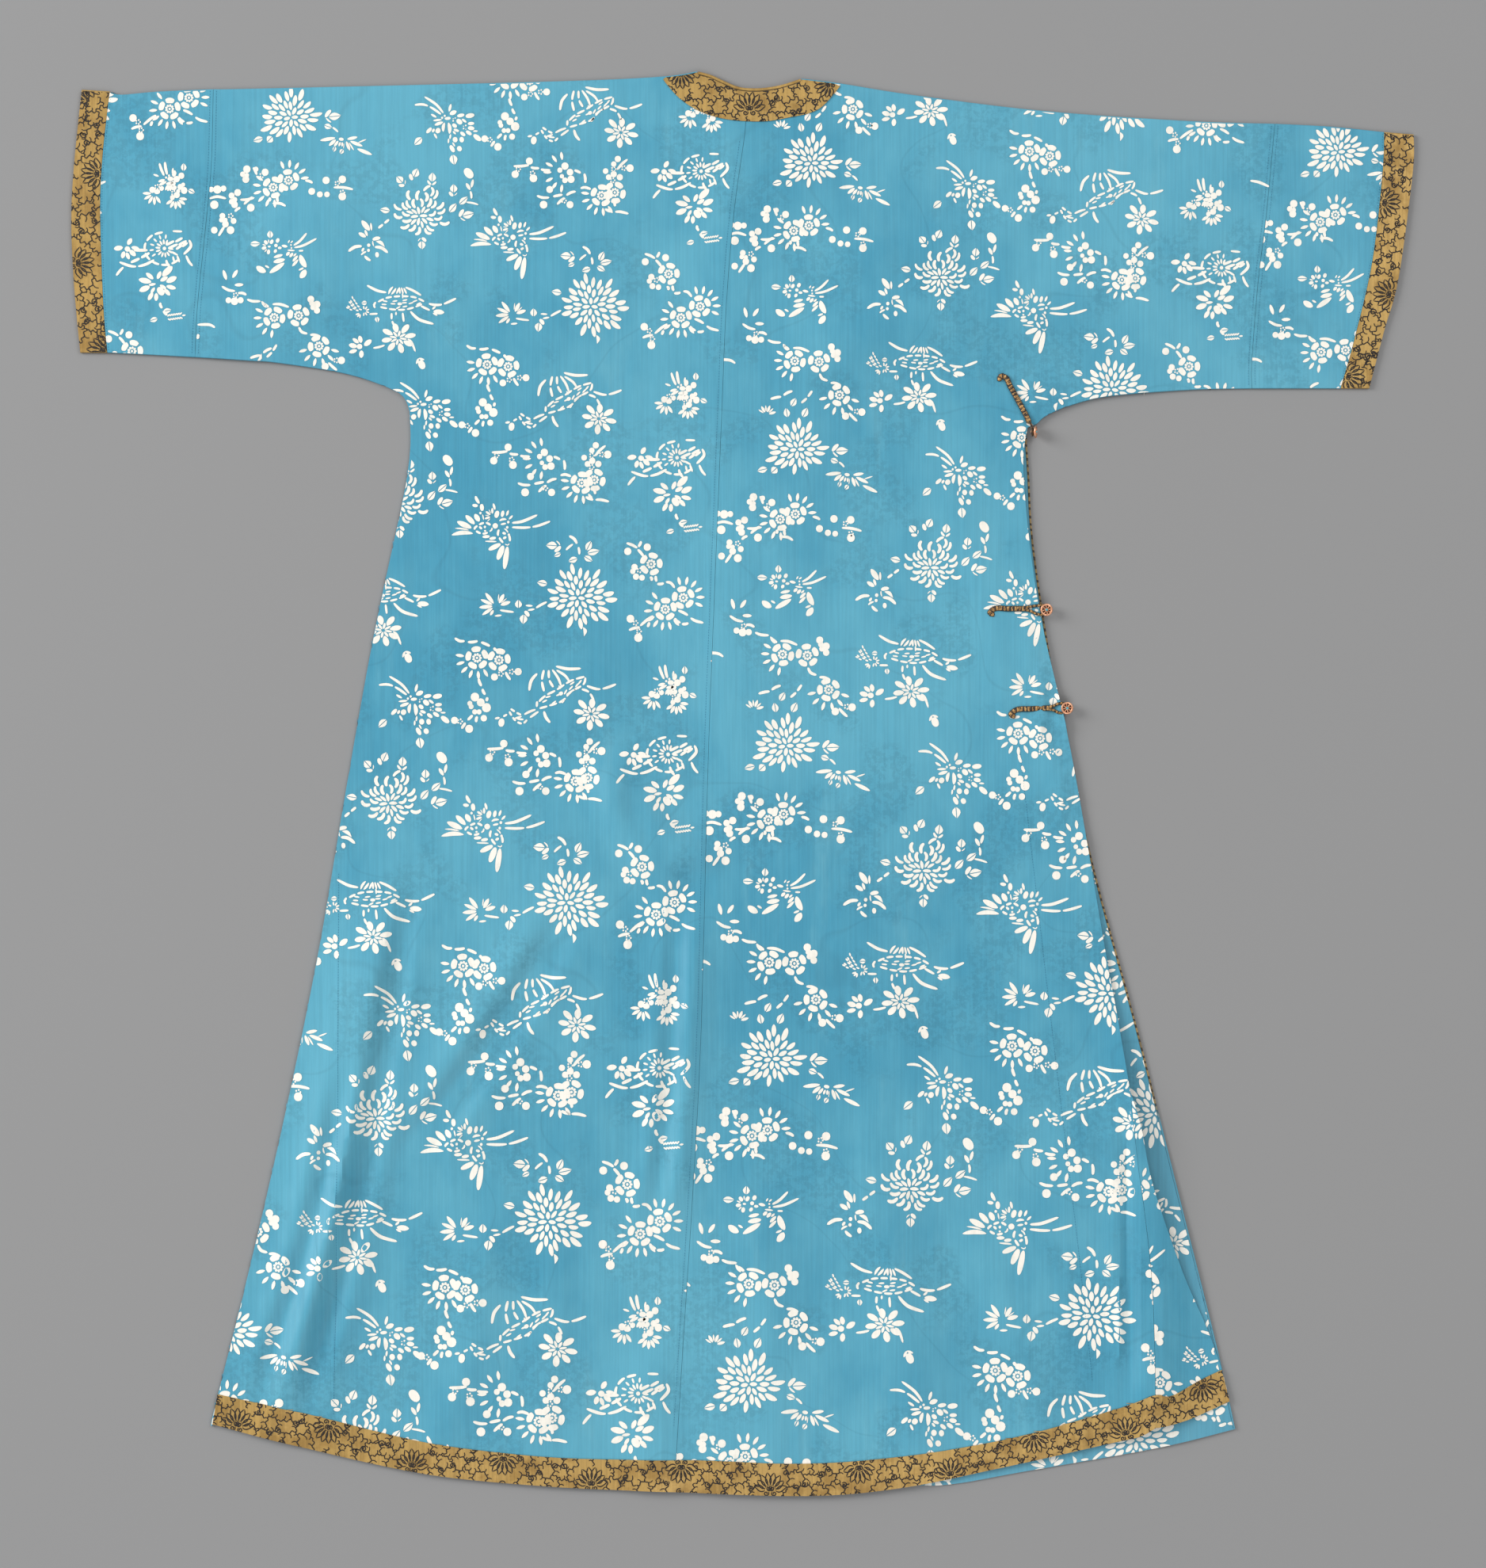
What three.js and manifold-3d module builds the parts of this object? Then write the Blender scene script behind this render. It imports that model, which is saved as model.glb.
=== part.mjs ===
// A silk robe that lies flat on its front, in millimetres: +X to its right side, +Y to the neck, +Z up.
// Two loom widths, each folded at the shoulder, meet at the centre back. The overlap lies
// undermost, the inner front on it, and the back on top, with every relief in one height function.
import * as THREE from "three";
import { mergeVertices } from "three/addons/utils/BufferGeometryUtils.js";
import Module from "manifold-3d";

const wasm = await Module();
wasm.setup();

// Walls and clearances.
const cloth = 1.2;
const band = 1.0;
const gap = 0.3;
const layer = cloth + gap;
const cellX = 30;
const cellY = 44;

const seamHalf = gap / 2;
const foldRadius = (layer + cloth) / 2;
const bindingWidth = 3;
const pipingWidth = 2.4;

// Overall places, measured from the middle of the robe's box.
const shoulderLeft = { x: -44, y: 700.5 };
const shoulderRight = { x: 59, y: 693.4 };
const frontNeckDepth = 95;
const underarmPoint = { x: 283, y: 345 };
const innerFrontMargin = 6;

// Lines that two pieces share, each from the neck or shoulder downwards.
const centreBack = [
  { x: 5, y: 686 },
  { x: 3.5, y: 644 },
  { x: -7.4, y: 564 },
  { x: -15.2, y: 471 },
  { x: -20, y: 358 },
  { x: -30, y: 108 },
  { x: -34, y: -9 },
  { x: -40, y: -243 },
  { x: -48, y: -399 },
  { x: -58, y: -555 },
  { x: -66.5, y: -697 },
];
const sleeveSeamLeft = [
  { x: -520, y: 683 },
  { x: -522, y: 609 },
  { x: -527, y: 553 },
  { x: -535.5, y: 471 },
  { x: -538, y: 419.5 },
];
const sleeveSeamRight = [
  { x: 524.5, y: 649 },
  { x: 516, y: 558 },
  { x: 508, y: 493 },
  { x: 502, y: 416 },
  { x: 502, y: 388.8 },
];
const cuffSeamLeft = [
  { x: -622, y: 680.8 },
  { x: -629, y: 618 },
  { x: -631.4, y: 563 },
  { x: -628.3, y: 471 },
  { x: -624.4, y: 424 },
];
const cuffSeamRight = [
  { x: 632, y: 640.8 },
  { x: 630.6, y: 602 },
  { x: 620.5, y: 514 },
  { x: 602.6, y: 436 },
  { x: 589.3, y: 388.8 },
];
const goreSeam = [
  { x: 381, y: -301 },
  { x: 388.8, y: -376 },
  { x: 394.3, y: -414 },
  { x: 402, y: -483 },
  { x: 405.2, y: -558 },
  { x: 406, y: -633 },
];

// Outer edges of the robe.
const cuffEdgeLeft = [
  { x: -649.5, y: 682.5 },
  { x: -657, y: 609 },
  { x: -659.8, y: 553 },
  { x: -657, y: 489 },
  { x: -651, y: 424 },
];
const cuffEdgeRight = [
  { x: 661, y: 638.5 },
  { x: 660.3, y: 602 },
  { x: 646.2, y: 497 },
  { x: 632, y: 445 },
  { x: 617.4, y: 388.8 },
];
const shoulderLineLeft = [
  shoulderLeft,
  { x: -79, y: 695.4 },
  { x: -184.5, y: 690.7 },
  { x: -473, y: 683.7 },
  { x: -520, y: 683 },
];
const shoulderLineRight = [
  shoulderRight,
  { x: 98.7, y: 688.4 },
  { x: 168, y: 677.4 },
  { x: 295, y: 661.8 },
  { x: 439.5, y: 651.7 },
  { x: 524.5, y: 649 },
];
const underarmLeft = [
  { x: -538, y: 419.5 },
  { x: -484, y: 416 },
  { x: -457.5, y: 414 },
  { x: -395, y: 404.4 },
  { x: -356, y: 392.7 },
  { x: -333.5, y: 381 },
  { x: -326.4, y: 365.4 },
];
const underarmRight = [
  { x: 281, y: 349.8 },
  { x: 289.8, y: 353.7 },
  { x: 299, y: 361.5 },
  { x: 322.5, y: 371.7 },
  { x: 361.5, y: 381 },
  { x: 439.5, y: 387.3 },
  { x: 502, y: 388.8 },
];
const sideLeft = [
  { x: -326.4, y: 365.4 },
  { x: -328.8, y: 303 },
  { x: -361.5, y: 147 },
  { x: -389.6, y: -9 },
  { x: -416, y: -165 },
  { x: -448, y: -321 },
  { x: -484, y: -477 },
  { x: -519, y: -617 },
  { x: -520.7, y: -630.6 },
];
const sideRight = [
  { x: 281, y: 349.8 },
  { x: 277, y: 303 },
  { x: 291.3, y: 178 },
  { x: 324, y: 30 },
  { x: 357.6, y: -165 },
  { x: 368.6, y: -225 },
  { x: 381, y: -301 },
];
const goreEdge = [
  { x: 381.6, y: -303 },
  { x: 392, y: -338 },
  { x: 403.7, y: -395 },
  { x: 433.3, y: -480 },
  { x: 457.5, y: -535.5 },
  { x: 472.3, y: -577 },
  { x: 480, y: -608 },
];
const overlapSide = [
  { x: 281, y: 340 },
  { x: 283.5, y: 303 },
  { x: 289, y: 225 },
  { x: 314, y: 69 },
  { x: 348.3, y: -87 },
  { x: 390.4, y: -243 },
  { x: 429.4, y: -399 },
  { x: 468.4, y: -555 },
  { x: 486.3, y: -635.3 },
];
const lapelEdge = [
  { x: 0, y: 598 },
  { x: 60, y: 562 },
  { x: 150, y: 470 },
  { x: 230, y: 385 },
  { x: 281, y: 340 },
];
const hemLeft = [
  { x: -520.7, y: -630.6 },
  { x: -439, y: -651.7 },
  { x: -309, y: -679.8 },
  { x: -180, y: -692.3 },
  { x: -66.7, y: -697 },
];
const hemRight = [
  { x: -66.5, y: -697 },
  { x: 63.6, y: -700.8 },
  { x: 156, y: -693 },
  { x: 260, y: -672 },
  { x: 364, y: -648.6 },
  { x: 391, y: -641.6 },
  { x: 406, y: -633 },
];
const hemGore = [
  { x: 406, y: -633 },
  { x: 421.6, y: -630.6 },
  { x: 445, y: -623.6 },
  { x: 480, y: -608 },
];
const overlapHem = [
  { x: 0, y: -692 },
  { x: 156, y: -691 },
  { x: 206, y: -689.9 },
  { x: 278, y: -677.4 },
  { x: 406, y: -654.8 },
  { x: 486.3, y: -635.3 },
];
const bandTop = [
  { x: -516, y: -601 },
  { x: -429, y: -620 },
  { x: -309, y: -648.6 },
  { x: -180, y: -663.4 },
  { x: -44, y: -665.7 },
  { x: 63.6, y: -669 },
  { x: 156, y: -662 },
  { x: 260, y: -645 },
  { x: 364, y: -616.6 },
  { x: 404.5, y: -600.5 },
  { x: 421.6, y: -602 },
  { x: 451, y: -587 },
  { x: 472.3, y: -577 },
];
const neckCurve = [
  shoulderLeft,
  { x: -31, y: 697 },
  { x: -20.7, y: 692.3 },
  { x: -3.5, y: 685.2 },
  { x: 13.7, y: 683.7 },
  { x: 30, y: 685.2 },
  { x: 44, y: 688.4 },
  shoulderRight,
];
const facingEdge = [
  { x: -79.2, y: 695 },
  { x: -71.4, y: 684.5 },
  { x: -58, y: 671 },
  { x: -38, y: 659.5 },
  { x: -12, y: 652.5 },
  { x: 21.5, y: 651 },
  { x: 47, y: 655 },
  { x: 67.5, y: 659.5 },
  { x: 81, y: 667.3 },
  { x: 98.7, y: 688 },
];

// The largest folds: soft ridges, each along a bowed line.
// The columns are the two ends, the sideways bow, the half width and the rise at the middle.
const folds = [
  { x1: -150, y1: 40, x2: -40, y2: -110, bow: -10, reach: 26, rise: 6 },
  { x1: -50, y1: -130, x2: -70, y2: -430, bow: 4, reach: 26, rise: 6 },
  { x1: -356, y1: -110, x2: -452, y2: -615, bow: 6, reach: 34, rise: 8 },
  { x1: -90, y1: -560, x2: -84, y2: -705, bow: 0, reach: 26, rise: 5 },
  { x1: 384, y1: -250, x2: 404, y2: -660, bow: 8, reach: 24, rise: 9 },
  { x1: 60, y1: 420, x2: 330, y2: 470, bow: 16, reach: 34, rise: 3 },
  { x1: -470, y1: 560, x2: -250, y2: 450, bow: 10, reach: 34, rise: 4 },
  { x1: 120, y1: -380, x2: 180, y2: -690, bow: 12, reach: 34, rise: 4 },
];

// The three fastenings: the tail from its sewn end to the loop, then the button's middle.
const tailWidth = 4.6;
const tailHeight = 2.6;
const strand = 1.9;
const buttonRadius = 6.3;
const shankRadius = 1.3;
const fastenings = [
  {
    name: "middle",
    ...{ x1: 245, y1: 169.6, x2: 263, y2: 171.5, x3: 280.5, y3: 171.6 },
    ...{ buttonX: 299.4, buttonY: 170.4 },
  },
  {
    name: "low",
    ...{ x1: 265.6, y1: 69.6, x2: 286, y2: 73.2, x3: 303.5, y3: 74 },
    ...{ buttonX: 319.6, buttonY: 73.8 },
  },
];
const topFastening = {
  ...{ x1: 257, y1: 399, x2: 264, y2: 390, x3: 275, y3: 370, x4: 281.5, y4: 357 },
  ...{ buttonX: 288.3, buttonY: 345.3 },
};
const buttonTilt = THREE.MathUtils.degToRad(78);

function along(rows, steps) {
  const curve = new THREE.SplineCurve(rows.map((row) => new THREE.Vector2(row.x, row.y)));
  return curve.getPoints(steps);
}

function moved(points, dx, dy = 0) {
  return points.map((p) => new THREE.Vector2(p.x + dx, p.y + dy));
}

function turned(points) {
  return [...points].reverse();
}

// An outline joined from lines laid end to end, with near doubles left out.
function joined(...lines) {
  const all = lines.flat().map((p) => new THREE.Vector2(p.x, p.y));
  const kept = all.filter((p, i) => i === 0 || p.distanceTo(all[i - 1]) > 0.6);
  if (kept[0].distanceTo(kept[kept.length - 1]) < 0.6) kept.pop();
  return kept;
}

// The height on a line that runs across, and the place on a line that runs down.
function yAt(line, x) {
  const rows = [...line].sort((a, b) => a.x - b.x);
  const next = rows.findIndex((row) => row.x >= x);
  if (next <= 0) return rows[next === 0 ? 0 : rows.length - 1].y;
  return THREE.MathUtils.mapLinear(x, rows[next - 1].x, rows[next].x, rows[next - 1].y, rows[next].y);
}

function xAt(line, y) {
  const next = line.findIndex((row) => row.y <= y);
  if (next <= 0) return line[next === 0 ? 0 : line.length - 1].x;
  return THREE.MathUtils.mapLinear(y, line[next - 1].y, line[next].y, line[next - 1].x, line[next].x);
}

function ease(low, high, value) {
  return THREE.MathUtils.smoothstep(value, low, high);
}

// How far the inner front rides up on the overlap: 1 on it, 0 in the sleeve and at the neck.
function onOverlap(x, y) {
  const lapelY = yAt(lapelEdge, x);
  const below = 1 - ease(lapelY + 30, lapelY + 80, y);
  const past = underarmPoint;
  return below * (1 - ease(past.x, past.x + 60, x) * ease(past.y, past.y + 20, y));
}

// The sum of the folds at a place. Each is highest at its middle and fades past both ends.
function foldHeight(x, y) {
  let height = 0;
  for (const fold of folds) {
    const run = new THREE.Vector2(fold.x2 - fold.x1, fold.y2 - fold.y1);
    const length = run.length();
    run.divideScalar(length);
    const share = ((x - fold.x1) * run.x + (y - fold.y1) * run.y) / length;
    const side = (y - fold.y1) * run.x - (x - fold.x1) * run.y;
    const bowed = fold.bow * Math.sin(Math.PI * THREE.MathUtils.clamp(share, 0, 1));
    const across = (side - bowed) / fold.reach;
    const ends = ease(-0.15, 0.2, share) * (1 - ease(0.8, 1.15, share));
    height += fold.rise * ends * Math.exp(-across * across);
  }
  return height;
}

function innerFrontUnder(x, y) {
  return layer * onOverlap(x, y);
}

// The under face of everything on the back: over one front layer or two, with the folds,
// which die out at the shoulder line, where the cloth is creased flat.
function backUnder(x, y) {
  const pastSide = y < underarmPoint.y ? ease(26, 60, x - xAt(sideAndGore, y)) : 0;
  const innerFront = ease(-58, -10, x) * (1 - pastSide);
  const calm = 1 - ease(590, 640, y + Math.abs(x) * 0.06);
  return layer + layer * onOverlap(x, y) * innerFront + foldHeight(x, y) * calm;
}

function onBack(x, y) {
  return backUnder(x, y) + layer;
}

function solid(geometry) {
  const bare = geometry.clone();
  bare.deleteAttribute("normal");
  bare.deleteAttribute("uv");
  const merged = mergeVertices(bare, 1e-4);
  return new wasm.Manifold(
    new wasm.Mesh({
      numProp: 3,
      vertProperties: new Float32Array(merged.attributes.position.array),
      triVerts: new Uint32Array(merged.index.array),
    }),
  );
}

function bufferGeometry(positions, index) {
  const geometry = new THREE.BufferGeometry();
  geometry.setAttribute("position", new THREE.Float32BufferAttribute(positions, 3));
  geometry.setIndex(index);
  return geometry;
}

// A wall over the grid that every layer shares, so that layers keep their gap: its under face
// follows a height function and its upper face lies one wall above.
function wallOver(box, under, wall) {
  const startX = (Math.floor(box.min.x / cellX) - 1) * cellX;
  const startY = (Math.floor(box.min.y / cellY) - 1) * cellY;
  const columns = Math.ceil((box.max.x - startX) / cellX) + 1;
  const rows = Math.ceil((box.max.y - startY) / cellY) + 1;
  const positions = [];
  const index = [];
  for (let row = 0; row <= rows; row += 1) {
    for (let column = 0; column <= columns; column += 1) {
      const x = startX + column * cellX;
      const y = startY + row * cellY;
      const z = under(x, y);
      positions.push(x, y, z, x, y, z + wall);
    }
  }
  const point = (column, row, upper) => (row * (columns + 1) + column) * 2 + upper;
  const quad = (a, b, c, d) => index.push(a, b, c, a, c, d);
  for (let row = 0; row < rows; row += 1) {
    for (let column = 0; column < columns; column += 1) {
      const corners = [
        point(column, row, 1),
        point(column + 1, row, 1),
        point(column + 1, row + 1, 1),
        point(column, row + 1, 1),
      ];
      quad(...corners);
      const [a, b, c, d] = corners.map((corner) => corner - 1);
      index.push(a, c, b, a, d, c);
    }
    quad(point(0, row + 1, 0), point(0, row, 0), point(0, row, 1), point(0, row + 1, 1));
    quad(
      point(columns, row, 0),
      point(columns, row + 1, 0),
      point(columns, row + 1, 1),
      point(columns, row, 1),
    );
  }
  for (let column = 0; column < columns; column += 1) {
    quad(point(column, 0, 0), point(column + 1, 0, 0), point(column + 1, 0, 1), point(column, 0, 1));
    quad(
      point(column + 1, rows, 0),
      point(column, rows, 0),
      point(column, rows, 1),
      point(column + 1, rows, 1),
    );
  }
  return solid(bufferGeometry(positions, index));
}

function upright(outline, low, high) {
  const shape = new THREE.Shape(outline);
  const geometry = new THREE.ExtrudeGeometry(shape, { depth: high - low, bevelEnabled: false });
  return solid(geometry.translate(0, 0, low));
}

// A cut piece of cloth from its outline, the height of its under face, and its wall.
function cut(outline, under, wall = cloth) {
  const box = new THREE.Box2().setFromPoints(outline);
  return wallOver(box, under, wall).intersect(upright(outline, -5, 60));
}

// The round fold that joins the back layer to the front layer along a top line.
function foldAlong(line) {
  const section = [new THREE.Vector2(-foldRadius - cloth, 0)];
  const arcSteps = 6;
  for (let i = 0; i <= arcSteps; i += 1) {
    const angle = -Math.PI / 2 + (Math.PI * i) / arcSteps;
    const y = foldRadius * (Math.cos(angle) - 1);
    section.push(new THREE.Vector2(y, foldRadius * (1 + Math.sin(angle))));
  }
  section.push(new THREE.Vector2(-foldRadius - cloth, 2 * foldRadius));
  const positions = [];
  const index = [];
  const places = [...line].sort((a, b) => a.x - b.x);
  for (const place of places) {
    for (const p of section) positions.push(place.x, place.y + p.x, p.y);
  }
  const count = section.length;
  for (let i = 0; i < places.length - 1; i += 1) {
    for (let j = 0; j < count; j += 1) {
      const here = i * count + j;
      const next = i * count + ((j + 1) % count);
      index.push(here, next, next + count, here, next + count, here + count);
    }
  }
  const last = (places.length - 1) * count;
  for (const [a, b, c] of THREE.ShapeUtils.triangulateShape(section, [])) {
    index.push(a, c, b, last + a, last + b, last + c);
  }
  return solid(bufferGeometry(positions, index));
}

// A cord with an oval section along a smooth line.
function cord(points, width, height, steps) {
  const path = new THREE.CatmullRomCurve3(points);
  const section = new THREE.Shape();
  section.absellipse(0, 0, height / 2, width / 2, 0, 2 * Math.PI);
  const options = { steps, extrudePath: path, bevelEnabled: false, curveSegments: 4 };
  return solid(new THREE.ExtrudeGeometry(section, options));
}

// A folded top line, set back by the fold's radius and with its two ends moved along by a little.
function topLine(rows, steps, startShift, endShift) {
  const line = moved(along(rows, steps), 0, -foldRadius);
  line[0].x += startShift;
  line[line.length - 1].x += endShift;
  return line;
}

const robe = new THREE.Group();
const silk = { color: 0x57a9c9, roughness: 0.55, metalness: 0 };
const brocade = { color: 0xb08d48, roughness: 0.45, metalness: 0.3 };
const enamel = { color: 0xd9a184, roughness: 0.35, metalness: 0.8 };

function place(name, made, finish) {
  const mesh = made.getMesh();
  const geometry = bufferGeometry(Array.from(mesh.vertProperties), Array.from(mesh.triVerts));
  geometry.computeVertexNormals();
  const piece = new THREE.Mesh(geometry, new THREE.MeshStandardMaterial(finish));
  piece.name = name;
  robe.add(piece);
}

// Lines sampled once, so that the pieces that share them meet all along.
const neck = moved(along(neckCurve, 20), 0, -bindingWidth - 2 * gap);
const seamTop = { x: 5, y: yAt(neck, 5) };
const centre = [seamTop, ...along(centreBack, 18).slice(1)];
const topLeft = topLine(shoulderLineLeft, 10, 0, seamHalf);
const topRight = topLine(shoulderLineRight, 10, 0, -seamHalf);
const pieceLeft = along(sleeveSeamLeft, 6).slice(1);
const pieceRight = along(sleeveSeamRight, 6).slice(1);
const armLeft = along(underarmLeft, 14);
const armRight = along(underarmRight, 14);
const edgeLeft = along(sideLeft, 16);
const edgeRight = along(sideRight, 12);
const goreLine = along(goreSeam, 10);
const sideAndGore = [...edgeRight, ...goreLine];
const hemLeftLine = along(hemLeft, 8);
const hemRightLine = along(hemRight, 10);
const neckLeft = neck.filter((p) => p.x < seamTop.x - 1);
const neckRight = neck.filter((p) => p.x > seamTop.x + 1);

// Left half: back and front in one length, joined by the fold at the shoulder.
const frontNeck = { x: (shoulderLeft.x + shoulderRight.x) / 2, y: shoulderRight.y };
function frontNeckLine(start) {
  const reach = start.x - frontNeck.x;
  const arc = new THREE.EllipseCurve(frontNeck.x, start.y, reach, frontNeckDepth, 0, Math.PI / 2);
  return arc.getPoints(8).map((p) => new THREE.Vector2(p.x, 2 * start.y - p.y - foldRadius));
}

const backLeft = cut(
  joined(
    turned(topLeft),
    neckLeft,
    moved(centre, -seamHalf),
    turned(hemLeftLine),
    turned(edgeLeft),
    turned(armLeft),
    turned(moved(pieceLeft, seamHalf)),
  ),
  backUnder,
);
const frontLeft = upright(
  joined(
    turned(topLeft),
    frontNeckLine(shoulderLeft).filter((p) => p.x < -seamHalf),
    [{ x: -seamHalf, y: frontNeck.y - frontNeckDepth }, { x: -seamHalf, y: hemLeft[4].y + 5 }],
    turned(moved(hemLeftLine, 0, 4)),
    turned(edgeLeft),
    turned(armLeft),
    turned(moved(pieceLeft, seamHalf)),
  ),
  0,
  cloth,
);
place("body_left", backLeft.add(frontLeft).add(foldAlong(moved(topLeft, 0, foldRadius))), silk);

// Right half: back and inner front in one length. The inner front rides up on the overlap.
const backRight = cut(
  joined(
    turned(moved(centre, seamHalf)),
    neckRight,
    topRight,
    moved(pieceRight, -seamHalf),
    turned(armRight),
    edgeRight,
    moved(goreLine, -seamHalf),
    turned(hemRightLine),
  ),
  backUnder,
);
const innerFront = cut(
  joined(
    [{ x: seamHalf, y: hemRight[0].y + innerFrontMargin }, { x: seamHalf, y: frontNeck.y - frontNeckDepth }],
    turned(frontNeckLine(shoulderRight)),
    topRight,
    moved(pieceRight, -seamHalf),
    turned(armRight),
    moved(sideAndGore.filter((p) => p.y > goreSeam[5].y + 15), -innerFrontMargin),
    turned(moved(hemRightLine.filter((p) => p.x > 2 && p.x < goreSeam[5].x - 15), 0, innerFrontMargin)),
  ),
  innerFrontUnder,
);
place("body_right", backRight.add(innerFront).add(foldAlong(moved(topRight, 0, foldRadius))), silk);

// Overlap: the outer right front, undermost, flat on what the robe lies on.
const overlapEdge = moved(along(overlapSide, 14), -pipingWidth - gap);
place(
  "front_overlap",
  upright(
    joined(moved(along(lapelEdge, 12), seamHalf), overlapEdge, turned(along(overlapHem, 10))),
    0,
    cloth,
  ),
  silk,
);
place(
  "overlap_piping",
  upright(joined(moved(overlapEdge, gap), turned(moved(overlapEdge, gap + pipingWidth))), 0, cloth + gap),
  brocade,
);

// Sleeve ends and cuffs: tubes pressed flat, folded at the top and sewn at the bottom.
function flatTube(name, top, sides, bottom, finish) {
  const outline = joined(top, sides.far, bottom, sides.near);
  const layers = upright(outline, 0, cloth).add(upright(outline, layer, layer + cloth));
  place(name, layers.add(foldAlong(moved(top, 0, foldRadius))), finish);
}

const cuffInLeft = along(cuffSeamLeft, 8).slice(1);
const cuffInRight = along(cuffSeamRight, 8).slice(1);
const sleeveTopLeft = [sleeveSeamLeft[0], { x: -576, y: 680.6 }, { x: -611, y: 677.6 }, cuffSeamLeft[0]];
const sleeveTopRight = [sleeveSeamRight[0], { x: 579, y: 646.2 }, cuffSeamRight[0]];
flatTube(
  "sleeve_end_left",
  topLine(sleeveTopLeft, 4, -seamHalf, seamHalf),
  { far: moved(cuffInLeft, seamHalf), near: turned(moved(pieceLeft, -seamHalf)) },
  [{ x: -576, y: 421.6 }],
  silk,
);
flatTube(
  "sleeve_end_right",
  topLine(sleeveTopRight, 4, seamHalf, -seamHalf),
  { far: moved(cuffInRight, -seamHalf), near: turned(moved(pieceRight, seamHalf)) },
  [],
  silk,
);
flatTube(
  "cuff_band_left",
  topLine([cuffSeamLeft[0], cuffEdgeLeft[0]], 2, -seamHalf, 0),
  { far: along(cuffEdgeLeft, 8).slice(1), near: turned(moved(cuffInLeft, -seamHalf)) },
  [],
  brocade,
);
flatTube(
  "cuff_band_right",
  topLine([cuffSeamRight[0], cuffEdgeRight[0]], 2, seamHalf, 0),
  { far: along(cuffEdgeRight, 8).slice(1), near: turned(moved(cuffInRight, seamHalf)) },
  [],
  brocade,
);

// Side gore of the back, which falls from the ridge at its seam and lies flat beyond it.
const hemGoreLine = along(hemGore, 4);
const goreEdgeLine = along(goreEdge, 10);
place(
  "side_gore_right",
  cut(
    joined(turned(moved(goreLine.slice(1), seamHalf)), goreEdgeLine, turned(hemGoreLine).slice(0, -1)),
    backUnder,
  ),
  silk,
);

// Bands that lie on the back: made from its own height, one wall and a gap higher.
const bandTopLine = along(bandTop, 28);
const hemLine = [...hemLeftLine, ...hemRightLine, ...hemGoreLine];
place("hem_band", cut(joined(bandTopLine, turned(hemLine)), onBack, band), brocade);
const facingLine = along(facingEdge, 18).filter((p) => p.y < yAt([...topLeft, ...topRight], p.x) - 1);
place(
  "neck_facing",
  cut(
    joined(
      facingLine,
      turned(topRight.filter((p) => p.x < facingLine[facingLine.length - 1].x)),
      turned(neck).slice(1, -1),
      topLeft.filter((p) => p.x > facingLine[0].x),
    ),
    onBack,
    band,
  ),
  brocade,
);
const bindingHeight = layer + cloth;
const bindingPath = along(neckCurve, 20)
  .slice(1, -1)
  .map((p) => new THREE.Vector3(p.x, p.y - bindingWidth / 2, bindingHeight));
place("neck_binding", cord(bindingPath, bindingWidth, bindingWidth, 14), brocade);

// Fastenings: a rolled tail on the back that parts into a loop round the button's shank.
function button(name, x, y, z, tilt) {
  const profile = [
    [0, -4.6],
    [shankRadius, -4.6],
    [shankRadius, -0.9],
    [4.6, -0.8],
    [buttonRadius - 0.4, -0.3],
    [buttonRadius, 0.5],
    [buttonRadius - 0.5, 1.5],
    [4.9, 1.7],
    [4.4, 1.1],
    [2.2, 1.2],
    [1.9, 1.9],
    [0.9, 2.4],
    [0, 2.5],
  ];
  const lathe = new THREE.LatheGeometry(profile.map(([r, h]) => new THREE.Vector2(r, h)), 16);
  lathe.rotateX(Math.PI / 2).rotateY(tilt).translate(x, y, z);
  place(name, solid(lathe), enamel);
}

function frog(name, tail, loop) {
  const made = cord(tail, tailWidth, tailHeight, 5).add(cord(loop, strand, strand, 20));
  place(name, made, brocade);
}

const tailLift = gap + tailHeight / 2;
const hoop = shankRadius + 2 * gap + strand / 2;
for (const f of fastenings) {
  const highest = Math.max(onBack(f.x1, f.y1), onBack(f.x2, f.y2), onBack(f.x3, f.y3));
  const z = highest - gap + tailLift;
  const tail = [
    new THREE.Vector3(f.x1, f.y1, z),
    new THREE.Vector3(f.x2, f.y2, z),
    new THREE.Vector3(f.x3, f.y3, z),
  ];
  const at = (dx, dy) => new THREE.Vector3(f.buttonX + dx, f.buttonY + dy, z);
  const start = new THREE.Vector3(f.x3 - 2, f.y3 + 0.6, z);
  const end = new THREE.Vector3(f.x3 - 2, f.y3 - 0.6, z);
  const upper = [at(-9, 4), at(-4, 4.6), at(0, hoop + 0.6)];
  const lower = [at(0, -hoop - 0.6), at(-4, -4.6), at(-9, -4)];
  const loop = [start, ...upper, at(hoop, 0), ...lower, end];
  frog("frog_" + f.name, tail, loop);
  button("button_" + f.name, f.buttonX, f.buttonY, z + strand / 2 + gap + 0.9, 0);
}

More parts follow.
